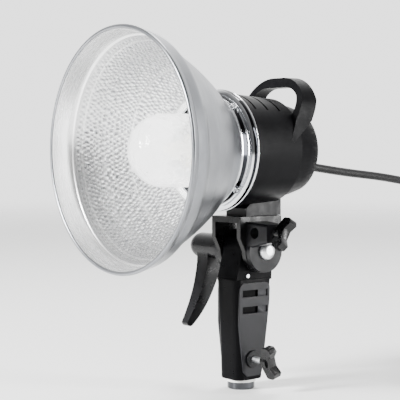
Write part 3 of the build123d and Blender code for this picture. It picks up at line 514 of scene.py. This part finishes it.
def turn_about(bm: bmesh.types.BMesh, profile: Profile, steps: int) -> None:
    """Spin a closed profile of (place along the axis, radius) about the lamp axis.

    Args:
        bm: An empty mesh, which takes the turned shape.
        profile: Corners in millimetres; the last joins the first.
        steps: Number of facets round the axis.
    """
    verts = [
        bm.verts.new((LAMP_AXIS_POINT + ALONG_Y * along + ALONG_Z * radius) * MM)
        for along, radius in profile
    ]
    edges = [bm.edges.new(pair) for pair in zip(verts, [*verts[1:], verts[0]])]
    bmesh.ops.spin(
        bm,
        geom=verts + edges,
        cent=LAMP_AXIS_POINT * MM,
        axis=ALONG_Y,
        angle=math.tau,
        steps=steps,
        use_merge=True,
        use_duplicate=False,
    )
    bmesh.ops.remove_doubles(bm, verts=bm.verts[:], dist=WELD_M)
    bmesh.ops.recalc_face_normals(bm, faces=bm.faces[:])


def add_bevel(piece: bpy.types.Object, width_mm: float, segments: int, angle: float) -> None:
    """Round a piece's sharp edges.

    Args:
        piece: The object.
        width_mm: Radius of the rounding.
        segments: Facets across it.
        angle: Least angle of an edge that is rounded, in degrees.
    """
    bevel = piece.modifiers.new("edge_round", "BEVEL")
    bevel.width = width_mm * MM
    bevel.segments = segments
    bevel.limit_method = "ANGLE"
    bevel.angle_limit = math.radians(angle)
    bevel.harden_normals = True


def softened(
    frame: dict,
    node: str,
    name: str,
    finish: Finish,
    width_mm: float,
    segments: int = 3,
    angle: float = CREASE_DEG,
) -> bpy.types.Object:
    """Make a piece with rounded edges from a copy of a CAD node.

    Args:
        frame: The loaded frame.
        node: The CAD node's name, which the piece replaces.
        name: The piece's name.
        finish: Its surface finish.
        width_mm: Radius of the edge rounding.
        segments: Facets across it.
        angle: Least angle of an edge that is rounded, in degrees.

    Returns:
        The new object.
    """
    bm = bmesh.new()
    bm.from_mesh(frame["nodes"][node].data)
    bmesh.ops.remove_doubles(bm, verts=bm.verts[:], dist=CAD_WELD_M)
    bmesh.ops.dissolve_limit(
        bm, angle_limit=math.radians(FLAT_DEG), verts=bm.verts[:], edges=bm.edges[:]
    )
    for face in bm.faces:
        face.material_index = 0
    body = frame["nodes"][node]["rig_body"]
    piece = put(bm, name, body, finish, (node,), crease=angle)
    add_bevel(piece, width_mm, segments, angle)
    return piece


def tint(
    piece: bpy.types.Object, finish: Finish, chosen: Callable[[Vector, Vector], bool]
) -> None:
    """Give some faces of a piece a second finish.

    Args:
        piece: The object.
        finish: The second finish.
        chosen: Says of a face's middle, in millimetres, and its normal whether it takes it.
    """
    piece.data.materials.append(finish.material())
    number = len(piece.data.materials) - 1
    for face in piece.data.polygons:
        if chosen(face.center / MM, face.normal):
            face.material_index = number


def dress_node(frame: dict, node: str, finish: Finish) -> None:
    """Give a CAD node that stays in view its finish."""
    slots = frame["nodes"][node].data.materials
    slots.clear()
    slots.append(finish.material())
    LOG.info("%s keeps its CAD mesh", node)


# ------------------------------------------------------------------ reflector
@dataclass
class Reflector:
    """Spun aluminium dish with a hammered inside, on a chromed bayonet collar."""

    frame: dict
    mouth_y: float = -138.0
    mouth_r: float = 105.0
    bead_r: float = 1.8
    sheet: float = 1.5
    facets: int = 528
    bead_step_deg: int = 20
    bead_reach_deg: int = 140
    band_step: float = 1.9  # the smooth band stands this far outside the hammered face
    outside_pitch: float = 3.6
    neck_lip: float = 1.2
    satin_lean: float = 0.12  # faces that look outwards more than this are satin
    dimple_counts: Profile = ((84.0, 132), (70.0, 112), (58.0, 92), (0.0, 74))
    dimple_height: float = 1.0
    dimple_pitch: float = 0.85  # rows stand this share of a dimple's width apart
    rings_per_row: int = 3
    fade_rows: float = 1.5
    # middle of the painted dimple shading: lower in the hollows, higher on the crests
    dimple_shading_mid: float = 0.62
    row_tolerance: float = 0.02
    stray: float = 2.6
    stray_round: float = 14.0
    stray_along: float = 0.42
    stray_offset: tuple[float, float, float] = (31.0, 7.0, 3.0)
    dish: Profile = field(
        default_factory=lambda: (
            (-117.0, 98.0),
            (-102.0, 89.2),
            (-85.0, 80.1),
            (-67.0, 68.7),
            (-53.0, 57.9),
            (-43.4, 51.0),
        )
    )
    rim_outside: Profile = (
        (-131.0, 103.5),
        (-124.0, 102.0),
        (-121.8, 101.4),
        (-119.6, 100.5),
        (-117.6, 98.6),
    )
    collar: Profile = (
        (-43.4, 44.0),
        (-43.4, 48.2),
        (-43.0, 48.6),
        (-42.2, 48.6),
        (-42.0, 50.1),
        (-41.6, 50.5),
        (-40.8, 50.5),
        (-40.4, 50.1),
        (-40.2, 49.5),
        (-35.2, 49.5),
        (-35.0, 50.1),
        (-34.7, 50.5),
        (-34.0, 50.5),
        (-33.6, 50.1),
        (-33.5, 49.6),
        (-33.5, 44.0),
    )
    # the collar's groove, whose chrome is darkened as painted shade
    collar_shade_band: tuple[float, float] = (-40.3, -35.1)

    def dish_radius(self, y: float) -> float:
        """Outside radius of the curved dish at a place along the axis."""
        points = self.dish
        for (y0, r0), (y1, r1) in zip(points, points[1:]):
            if y <= y1:
                share = (y - y0) / (y1 - y0)
                before = points[max(points.index((y0, r0)) - 1, 0)]
                after = points[min(points.index((y1, r1)) + 1, len(points) - 1)]
                slope0 = (r1 - before[1]) / (y1 - before[0])
                slope1 = (after[1] - r0) / (after[0] - y0)
                span = y1 - y0
                square, cube = share * share, share**3
                return (
                    (2 * cube - 3 * square + 1) * r0
                    + (cube - 2 * square + share) * span * slope0
                    + (3 * square - 2 * cube) * r1
                    + (cube - square) * span * slope1
                )
        return points[-1][1]

    def dimples_round(self, radius: float) -> int:
        """How many dimples go round at a radius, so that they stay about 4 mm wide."""
        return next(int(count) for least, count in self.dimple_counts if radius > least)

    def strayed(self, angle: float, row: float) -> tuple[float, float]:
        """How far, in radians of the pattern, hand spinning shifts a dimple from its even place.

        Args:
            angle: The angle about the lamp axis.
            row: The dimple row, counted from the step.

        Returns:
            The shift round the dish, and the shift along it.
        """
        spot = Vector(
            (
                self.stray_round * math.cos(angle),
                self.stray_round * math.sin(angle),
                self.stray_along * row,
            )
        )
        return (
            self.stray * noise.noise(spot),
            self.stray * noise.noise(spot + Vector(self.stray_offset)),
        )

    def inside_rows(self) -> list[tuple[float, float, float]]:
        """Rows of the inner face from the step to the neck, as (y, radius, dimple row)."""
        rows = []
        y, row = self.dish[0][0], 0.0
        while y < self.dish[-1][0] - self.neck_lip:
            radius = self.dish_radius(y) - self.sheet
            rows.append((y, radius, row))
            pitch = math.tau * radius / self.dimples_round(radius)
            slope = (self.dish_radius(y + 0.5) - self.dish_radius(y)) / 0.5
            y += pitch * self.dimple_pitch / self.rings_per_row / math.hypot(1.0, slope)
            row += 1 / self.rings_per_row
        return rows

    def lip_bead(self, lip_y: float, lip_r: float) -> list[tuple[float, float]]:
        """Corners of the rolled bead round the mouth, from the inside to the outside."""
        reach, step = self.bead_reach_deg, self.bead_step_deg
        return [
            (lip_y - self.bead_r * math.cos(a), lip_r + self.bead_r * math.sin(a))
            for a in (math.radians(angle) for angle in range(-reach, reach + 1, step))
        ]

    def smooth_band(self, y: float, radius: float, lip_r: float) -> list[tuple[float, float]]:
        """Corners of the step and the smooth band inside the mouth.

        Args:
            y: Place of the first hammered ring.
            radius: Its radius.
            lip_r: Radius of the bead's middle.
        """
        foot_r = radius + self.band_step
        rise = lip_r - 1.2 - foot_r
        step = [(y - 0.5, radius + 0.3), (y - 0.9, radius + 1.3), (y - 1.6, foot_r)]
        return step + [(-124.0, foot_r + rise * 0.33), (-130.0, foot_r + rise * 0.66)]

    def outside_curve(self) -> list[tuple[float, float]]:
        """Corners of the dish's outside, from the step to the neck."""
        corners = []
        y = self.dish[-1][0]
        while y > self.dish[0][0]:
            corners.append((y, self.dish_radius(y)))
            y -= self.outside_pitch
        return corners[::-1]

    def build_bowl(self) -> None:
        """The dish itself: lip bead, smooth band, step, hammered inside and satin outside."""
        lip_y = self.mouth_y + self.bead_r
        lip_r = self.mouth_r - self.bead_r
        inside = self.inside_rows()
        first_y, first_r, _ = inside[0]
        neck_y = self.dish[-1][0]
        inner_neck_y = neck_y - self.neck_lip
        profile = (
            [(neck_y, COLLAR_BORE_R), (inner_neck_y, COLLAR_BORE_R), (inner_neck_y, inside[-1][1])]
            + [(y, r) for y, r, _ in reversed(inside)]
            + self.smooth_band(first_y, first_r, lip_r)
            + self.lip_bead(lip_y, lip_r)
            + list(self.rim_outside)
            + self.outside_curve()
        )
        bm = bmesh.new()
        turn_about(bm, profile, self.facets)
        self.hammer(bm, inside)
        dish = put(
            bm,
            "dish_reflector",
            "reflector",
            Stock.HAMMERED.value,
            ("reflector_bowl",),
            crease=50,
        )
        dish.data.materials.append(Stock.SPUN.value.material())
        self.part_faces(dish)

    def part_faces(self, dish: bpy.types.Object) -> None:
        """Give the outside of the dish the satin finish and leave the inside bright."""
        for face in dish.data.polygons:
            along = face.center.y / MM
            radial = Vector((face.center.x, 0.0, face.center.z - HEAD_Z * MM))
            outward = face.normal.dot(radial.normalized())
            if outward > self.satin_lean or along < self.mouth_y + self.neck_lip:
                face.material_index = 1

    def hammer(self, bm: bmesh.types.BMesh, inside: Sequence[tuple[float, float, float]]) -> None:
        """Raise the staggered dimples of the inner face and store their painted shading.

        Args:
            bm: The spun dish.
            inside: Rows of the inner face with their dimple row numbers.
        """
        rows = {round(y, 4): (radius, row) for y, radius, row in inside}
        last = inside[-1][2]
        crest = bm.verts.layers.float.new("crest")
        bm.normal_update()
        for vert in bm.verts:
            vert[crest] = 1.0
            known = rows.get(round(vert.co.y / MM, 4))
            if known is None:
                continue
            across = Vector((vert.co.x, 0.0, vert.co.z - HEAD_Z * MM))
            if abs(across.length / MM - known[0]) > self.row_tolerance:
                continue
            angle = math.atan2(across.x, across.z)
            count = self.dimples_round(known[0])
            fade = min(known[1] / self.fade_rows, 1.0)
            fade *= min((last - known[1]) / self.fade_rows, 1.0)
            around, along = self.strayed(angle, known[1])
            wave = math.cos(count * angle + around) * math.cos(math.pi * known[1] + along) * fade
            # painted shade in the hollows and painted light on the crests, from the dimple wave
            vert[crest] = min(self.dimple_shading_mid + self.dimple_shading_mid * wave, 1.0)
            vert.co += vert.normal * (self.dimple_height / 2 * MM * wave)

    def build_collar(self) -> None:
        """The collar: two bright beads with a band of chrome darkened as painted shade and fixings
        between them.
        """
        bm = bmesh.new()
        turn_about(bm, self.collar, BAND_STEPS)
        collar = put(
            bm,
            "chromed_collar",
            "reflector",
            Stock.CHROME.value,
            ("bayonet_collar",),
            crease=40,
        )
        front, back = self.collar_shade_band
        # the groove between the beads takes the chrome darkened as painted shade
        tint(collar, Stock.SHADED_CHROME.value, lambda place, way: front < place.y < back)
        softened(self.frame, "collar_screws", "collar_fixings", Stock.CHROME.value, 0.35, 2)
        dress_node(self.frame, "bayonet_lugs", Stock.ZINC.value)

    def build(self) -> None:
        """Build the whole reflector."""
        self.build_bowl()
        self.build_collar()


# ------------------------------------------------------------------ light source
@dataclass
class LightSource:
    """Frosted dome over a ring flash tube and a modelling lamp on a ceramic holder."""

    frame: dict
    dome_r: float = 32.0
    wall: float = 2.0
    base_y: float = -24.2
    middle_y: float = -55.0
    shoulder_y: float = -87.0
    arc_step: int = 6

    def arc(self, radius: float, start: int, stop: int, step: int) -> list[tuple[float, float]]:
        """Corners of the dome's round end, by angle from the axis."""
        return [
            (
                self.shoulder_y - radius * math.cos(math.radians(a)),
                max(radius * math.sin(math.radians(a)), 0.0),
            )
            for a in range(start, stop, step)
        ]

    def build(self) -> None:
        """Build the dome and dress what stands inside it."""
        inner = self.dome_r - self.wall
        bm = bmesh.new()
        profile = (
            [(self.base_y, inner), (self.base_y, self.dome_r), (self.middle_y, self.dome_r)]
            + self.arc(self.dome_r, 90, -1, -self.arc_step)
            + self.arc(inner, 0, 91, self.arc_step)
            + [(self.middle_y, inner)]
        )
        turn_about(bm, profile, 96)
        put(bm, "dome_of_glass", "head", Stock.GLASS.value, ("glass_dome",), 60)
        softened(self.frame, "lamp_holder", "holder_of_ceramic", Stock.CERAMIC.value, 0.8)
        softened(self.frame, "dome_ring", "dome_clamp_ring", Stock.CHROME.value, 0.4, 2)
        dress_node(self.frame, "front_plate", Stock.HEAT_PLATE.value)
        dress_node(self.frame, "flash_tube", Stock.CLEAR.value)
        dress_node(self.frame, "modelling_lamp", Stock.OPAL.value)


# ------------------------------------------------------------------ barrel
@dataclass
class Barrel:
    """Head housing: chromed mount ring, slotted shell, rear cap with controls, handle."""

    frame: dict
    ring: Profile = (
        (-33.0, 44.5),
        (-33.0, 51.4),
        (-32.7, 52.0),
        (-31.5, 53.4),
        (-31.0, 53.9),
        (-30.6, 54.0),
        (-27.6, 54.0),
        (-27.4, 54.3),
        (-27.1, 54.5),
        (-26.0, 54.5),
        (-25.6, 54.2),
        (-25.4, 53.6),
        (-25.4, 51.5),
        (-24.0, 51.5),
        (-24.0, 44.5),
    )
    # the ring's recessed band, whose chrome is darkened as painted shade
    ring_shade_band: tuple[float, float] = (-31.2, -27.5)

    def build_ring(self) -> None:
        """The ring the collar turns in: bright bevel and bead on a band of chrome darkened as
        painted shade.
        """
        bm = bmesh.new()
        turn_about(bm, self.ring, BAND_STEPS)
        ring = put(
            bm,
            "chromed_mount_ring",
            "head",
            Stock.CHROME.value,
            ("mount_ring",),
            crease=40,
        )
        front, back = self.ring_shade_band
        # the recessed band takes the chrome darkened as painted shade
        tint(ring, Stock.SHADED_CHROME.value, lambda place, way: front < place.y < back)

    def build(self) -> None:
        """Build the housing and its controls."""
        self.build_ring()
        softened(self.frame, "barrel_shell", "slotted_shell", Stock.SHELL.value, 0.5)
        softened(self.frame, "rear_cap", "rear_housing", Stock.CAP.value, 0.6)
        softened(self.frame, "carry_handle", "carrying_arch", Stock.SHELL.value, 2.4, 4)
        softened(self.frame, "bayonet_latch", "latch_button", Stock.KNOB.value, 0.4)
        softened(self.frame, "rear_cap_screws", "cap_fixings", Stock.BLACKENED.value, 0.4)
        softened(self.frame, "output_dial", "power_dial", Stock.KNOB.value, 0.3, 2)
        softened(self.frame, "power_rocker", "rocker_key", Stock.KNOB.value, 0.6)
        softened(self.frame, "test_button", "flash_test_key", Stock.RED.value, 0.3)
        softened(self.frame, "sync_socket", "sync_jack_bush", Stock.NICKEL.value, 0.25, 2)
        dress_node(self.frame, "ready_lamp", Stock.AMBER.value)
        for node, finish in (
            ("chassis_plate", Stock.ZINC),
            ("standoffs", Stock.ZINC),
            ("capacitors", Stock.SLEEVE),
            ("circuit_board", Stock.BOARD),
            ("trigger_coil", Stock.SLEEVE),
            ("fan_frame", Stock.CAST),
            ("fan_rotor", Stock.CAST),
        ):
            dress_node(self.frame, node, finish.value)


# ------------------------------------------------------------------ yoke
@dataclass
class Yoke:
    """The fork under the barrel, with its umbrella clamp and tilt axle."""

    frame: dict

    def build(self) -> None:
        """Round the fork's castings and dress its hardware."""
        softened(self.frame, "foot_block", "barrel_foot", Stock.CAST.value, 1.0)
        softened(self.frame, "yoke_bracket", "tilt_fork", Stock.YOKE.value, 1.2)
        softened(self.frame, "ear_discs", "fork_discs", Stock.CAST.value, 0.9)
        softened(self.frame, "umbrella_block", "umbrella_boss", Stock.CAST.value, 1.0)
        softened(self.frame, "umbrella_wing", "umbrella_wing_knob", Stock.KNOB.value, 1.1)
        dress_node(self.frame, "umbrella_screw", Stock.SILVERED.value)
        dress_node(self.frame, "umbrella_pad", Stock.BRASS.value)
        dress_node(self.frame, "foot_screws", Stock.BLACKENED.value)
        softened(self.frame, "tilt_axle", "axle_with_domed_head", Stock.SILVERED.value, 0.3, 2)


# ------------------------------------------------------------------ grip
@dataclass
class Grip:
    """Two-part moulded grip with side pads, stand socket, clamp screw and tilt lever."""

    frame: dict
    slot_levels: tuple[float, float] = (72.6, 87.5)
    slot_half: float = 3.1
    deep_x: float = 12.2
    shallow_x: float = 14.1
    sideways: float = 0.9
    depth_tolerance: float = 0.1

    def in_slot(self, place: Vector) -> bool:
        """Whether a face's middle is at the height of a finger slot."""
        return any(abs(place.z - level) <= self.slot_half for level in self.slot_levels)

    def is_at(self, depth: float, place: Vector, way: Vector) -> bool:
        """Whether a face is in a slot, looks sideways and stands at a depth."""
        return (
            self.in_slot(place)
            and abs(way.x) > self.sideways
            and abs(abs(place.x) - depth) < self.depth_tolerance
        )

    def is_slot_floor(self, place: Vector, way: Vector) -> bool:
        """Whether a face is the deep part of a slot."""
        return self.is_at(self.deep_x, place, way)

    def is_slot_ramp(self, place: Vector, way: Vector) -> bool:
        """Whether a face is the shallow part of a slot."""
        return self.is_at(self.shallow_x, place, way)

    def build(self) -> None:
        """Round the grip's mouldings and dress its hardware."""
        for node in ("grip_left", "grip_right"):
            name = node.replace("grip", "grip_moulding")
            half = softened(self.frame, node, name, Stock.GRIP.value, 0.4)
            # painted shade on the deep slot floors and painted light on the shallow ramps
            tint(half, Stock.SLOT_SHADE.value, self.is_slot_floor)
            tint(half, Stock.SLOT_LIGHT.value, self.is_slot_ramp)
        softened(self.frame, "side_pad_left", "grip_pad_left", Stock.PAD.value, 0.5)
        softened(self.frame, "side_pad_right", "grip_pad_right", Stock.PAD.value, 0.5)
        # the socket sleeve's chrome is darkened as painted dark reflection
        softened(self.frame, "socket_sleeve", "stand_socket_sleeve", Stock.SHADED_LINER.value, 0.3, 2)
        softened(self.frame, "sleeve_ring", "sleeve_collar", Stock.NYLON.value, 0.5)
        softened(self.frame, "clamp_bush", "clamp_screw_boss", Stock.CAST.value, 0.5)
        softened(self.frame, "stand_wing", "stand_wing_knob", Stock.KNOB.value, 1.1)
        softened(self.frame, "tilt_lever", "tilt_lever_arm", Stock.LEVER.value, 1.6)
        dress_node(self.frame, "stand_screw", Stock.SILVERED.value)
        dress_node(self.frame, "clamp_shoe", Stock.BRASS.value)
        dress_node(self.frame, "stop_pin", Stock.SILVERED.value)
        dress_node(self.frame, "friction_discs", Stock.FIBRE.value)
        dress_node(self.frame, "grip_screws", Stock.BLACKENED.value)
        dress_node(self.frame, "lever_nut", Stock.NICKEL.value)


# ------------------------------------------------------------------ mains lead
@dataclass
class MainsLead:
    """Round PVC lead with a moulded plug, laid back, down and coiled on the floor."""

    frame: dict
    diameter: float = 8.0
    length: float = 1.9  # metres, as declared; the drawn curve measures 1.76 m
    route: Sequence[tuple[float, float, float]] = (
        (0, 84, 201),
        (0, 128, 195),
        (0, 184, 190),
        (-2, 240, 182),
        (-7, 287, 154),
        (-10, 312, 104),
        (-8, 310, 56),
        (8, 307.5, 28),
        (33, 306.5, 12),
    )
    tail: Sequence[tuple[float, float, float]] = ((101, 236, 5), (104, 216, 9.5), (106, 200, 13))
    coil_centre: tuple[float, float] = (47.0, 256.0)
    coil_start_r: float = 50.0
    coil_start_turn: float = 0.034
    coil_turns: float = 5.21
    inward_turns: float = 2.45
    turn_spacing: float = 8.3
    top_z: float = 12.3
    floor_z: float = 4.1
    drop_turns: float = 0.3  # the step from the upper layer to the lower one takes this long
    points_per_turn: int = 16

    def coil(self) -> list[tuple[float, float, float]]:
        """Points of the two-layer coil: inwards on top, then outwards on the floor."""
        points = []
        count = round(self.coil_turns * self.points_per_turn)
        for step in range(count + 1):
            turn = self.coil_turns * step / count
            if turn < self.inward_turns:
                radius = self.coil_start_r - self.turn_spacing * turn
            else:
                radius = self.coil_start_r - self.turn_spacing * (2 * self.inward_turns - turn)
            drop = min(max((turn - self.inward_turns) / self.drop_turns + 0.5, 0.0), 1.0)
            angle = math.tau * (turn + self.coil_start_turn)
            points.append(
                (
                    self.coil_centre[0] + radius * math.sin(angle),
                    self.coil_centre[1] + radius * math.cos(angle),
                    self.top_z + (self.floor_z - self.top_z) * drop,
                )
            )
        return points

    def build(self) -> None:
        """Build the lead, its strain relief and its plug."""
        plug = softened(self.frame, "plug_body", "mains_plug", Stock.RUBBER.value, 1.6)
        pins = softened(self.frame, "plug_pins", "mains_plug_pins", Stock.NICKEL.value, 0.6)
        gland = softened(self.frame, "cord_gland", "strain_relief", Stock.RUBBER.value, 0.4)
        points = [*self.route, *self.coil(), *self.tail]
        curve = bpy.data.curves.new("mains_lead", "CURVE")
        curve.dimensions = "3D"
        curve.bevel_depth = self.diameter / 2 * MM
        curve.bevel_resolution = 6
        curve.use_fill_caps = True
        spline = curve.splines.new("NURBS")
        spline.points.add(len(points) - 1)
        for point, place in zip(spline.points, points):
            point.co = (*metres(*place), 1.0)
        spline.order_u = 3
        spline.use_endpoint_u = True
        spline.resolution_u = 6
        lead = bpy.data.objects.new("mains_lead", curve)
        bpy.context.scene.collection.objects.link(lead)
        curve.materials.append(Stock.RUBBER.value.material())
        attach(lead, "head")
        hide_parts("power_cord", "cord_coil", "cord_tail")


# ------------------------------------------------------------------ studio
@dataclass
class Studio:
    """Camera, soft lights and a plain pale floor."""

    azimuth: float = 49.3
    distance: float = 1.10
    lens: float = 109.0
    aim: tuple[float, float, float] = (-26.0, -27.0, 171.0)
    paper_light: float = 2.4
    room_light: float = 0.18
    ceiling_light: float = 0.4
    paper_edge: tuple[float, float] = (-0.85, -0.05)  # cosine against the way to the camera
    ceiling_edge: tuple[float, float] = (0.55, 0.9)  # sine of the height
    floor_half: float = 40.0
    floor_fade: tuple[float, float] = (0.9, 4.5)  # metres from the middle
    sensor: float = 36.0
    light_aim: tuple[float, float, float] = (0.0, 0.0, 180.0)

    def build_camera(self) -> None:
        """Set the camera at the viewing angle, level with the lamp axis."""
        turn = math.radians(self.azimuth)
        place = metres(0, 3, HEAD_Z) + Vector((math.sin(turn), -math.cos(turn), 0)) * self.distance
        data = bpy.data.cameras.new("camera")
        data.lens = self.lens
        data.sensor_width = self.sensor
        camera = bpy.data.objects.new("camera", data)
        bpy.context.scene.collection.objects.link(camera)
        camera.location = place
        camera.rotation_euler = (metres(*self.aim) - place).to_track_quat("-Z", "Y").to_euler()
        bpy.context.scene.camera = camera

    def add_light(
        self, name: str, place: tuple[float, float, float], size: tuple[float, float], power: float
    ) -> None:
        """Hang one softbox that faces the lamp.

        Args:
            name: The light's name.
            place: Its place in metres.
            size: Its width and height in metres.
            power: Its power in watts.
        """
        data = bpy.data.lights.new(name, "AREA")
        data.shape = "RECTANGLE"
        data.size, data.size_y = size
        data.energy = power
        light = bpy.data.objects.new(name, data)
        bpy.context.scene.collection.objects.link(light)
        light.location = place
        aim = metres(*self.light_aim) - Vector(place)
        light.rotation_euler = aim.to_track_quat("-Z", "Y").to_euler()

    def build_floor(self) -> None:
        """Lay the floor the lamp is shown on."""
        bm = bmesh.new()
        bmesh.ops.create_grid(bm, x_segments=1, y_segments=1, size=self.floor_half)
        mesh = bpy.data.meshes.new("floor")
        bm.to_mesh(mesh)
        bm.free()
        floor = bpy.data.objects.new("floor", mesh)
        bpy.context.scene.collection.objects.link(floor)
        floor.data.materials.append(self.floor_paper())

    def floor_paper(self) -> bpy.types.Material:
        """Pale paper that thins out with distance, so that it meets the backdrop with no line."""
        paper = Finish("Pale_floor", "#f4f4f3", 0.6).material()
        tree = paper.node_tree
        output = next(node for node in tree.nodes if node.bl_idname == "ShaderNodeOutputMaterial")
        lit = output.inputs["Surface"].links[0].from_socket
        place = add_node(tree, "ShaderNodeTexCoord").outputs["Object"]
        reach = add_node(
            tree, "ShaderNodeVectorMath", settings={"operation": "LENGTH"}, links={0: place}
        )
        thin = add_node(
            tree,
            "ShaderNodeMapRange",
            settings={"interpolation_type": "SMOOTHSTEP"},
            values={"From Min": self.floor_fade[0], "From Max": self.floor_fade[1]},
            links={"Value": reach.outputs["Value"]},
        )
        gone = add_node(tree, "ShaderNodeBsdfTransparent")
        mixed = add_node(
            tree,
            "ShaderNodeMixShader",
            links={0: thin.outputs["Result"], 1: lit, 2: gone.outputs["BSDF"]},
        )
        tree.links.new(mixed.outputs["Shader"], output.inputs["Surface"])
        return paper

    def build_world(self) -> None:
        """White paper all round and above, falling off to a dim room behind the camera."""
        world = bpy.data.worlds.new("studio")
        world.use_nodes = True
        tree = world.node_tree
        way = add_node(tree, "ShaderNodeTexCoord").outputs["Generated"]
        turn = math.radians(self.azimuth)
        facing = add_node(
            tree,
            "ShaderNodeVectorMath",
            settings={"operation": "DOT_PRODUCT"},
            values={1: (math.sin(turn), -math.cos(turn), 0.0)},
            links={0: way},
        )
        around = add_node(
            tree,
            "ShaderNodeMapRange",
            settings={"interpolation_type": "SMOOTHSTEP"},
            values={
                "From Min": self.paper_edge[0],
                "From Max": self.paper_edge[1],
                "To Min": self.paper_light,
                "To Max": self.room_light,
            },
            links={"Value": facing.outputs["Value"]},
        )
        height = add_node(tree, "ShaderNodeSeparateXYZ", links={"Vector": way})
        above = add_node(
            tree,
            "ShaderNodeMapRange",
            settings={"interpolation_type": "SMOOTHSTEP"},
            values={
                "From Min": self.ceiling_edge[0],
                "From Max": self.ceiling_edge[1],
                "To Min": 0.0,
                "To Max": self.ceiling_light,
            },
            links={"Value": height.outputs["Z"]},
        )
        total = add_node(
            tree,
            "ShaderNodeMath",
            settings={"operation": "MAXIMUM"},
            links={0: around.outputs["Result"], 1: above.outputs["Result"]},
        )
        background = tree.nodes["Background"]
        background.inputs["Color"].default_value = (1, 1, 1, 1)
        tree.links.new(total.outputs["Value"], background.inputs["Strength"])
        bpy.context.scene.world = world

    def build(self) -> None:
        """Build the studio."""
        self.build_camera()
        self.build_floor()
        self.build_world()
        self.add_light("key", (-0.35, -2.0, 1.0), (0.5, 0.5), 170)
        self.add_light("strip", (1.35, 1.15, 0.45), (0.2, 1.7), 48)
        self.add_light("top", (-0.6, 0.9, 2.0), (0.6, 0.6), 45)


def main() -> None:
    """Build the studio and every sub-assembly round the frame."""
    logging.basicConfig(level=logging.INFO, format="%(name)s: %(message)s")
    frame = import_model()
    Studio().build()
    for assembly in (MainsLead, Reflector, LightSource, Barrel, Yoke, Grip):
        assembly(frame).build()


if __name__ == "__main__":
    main()
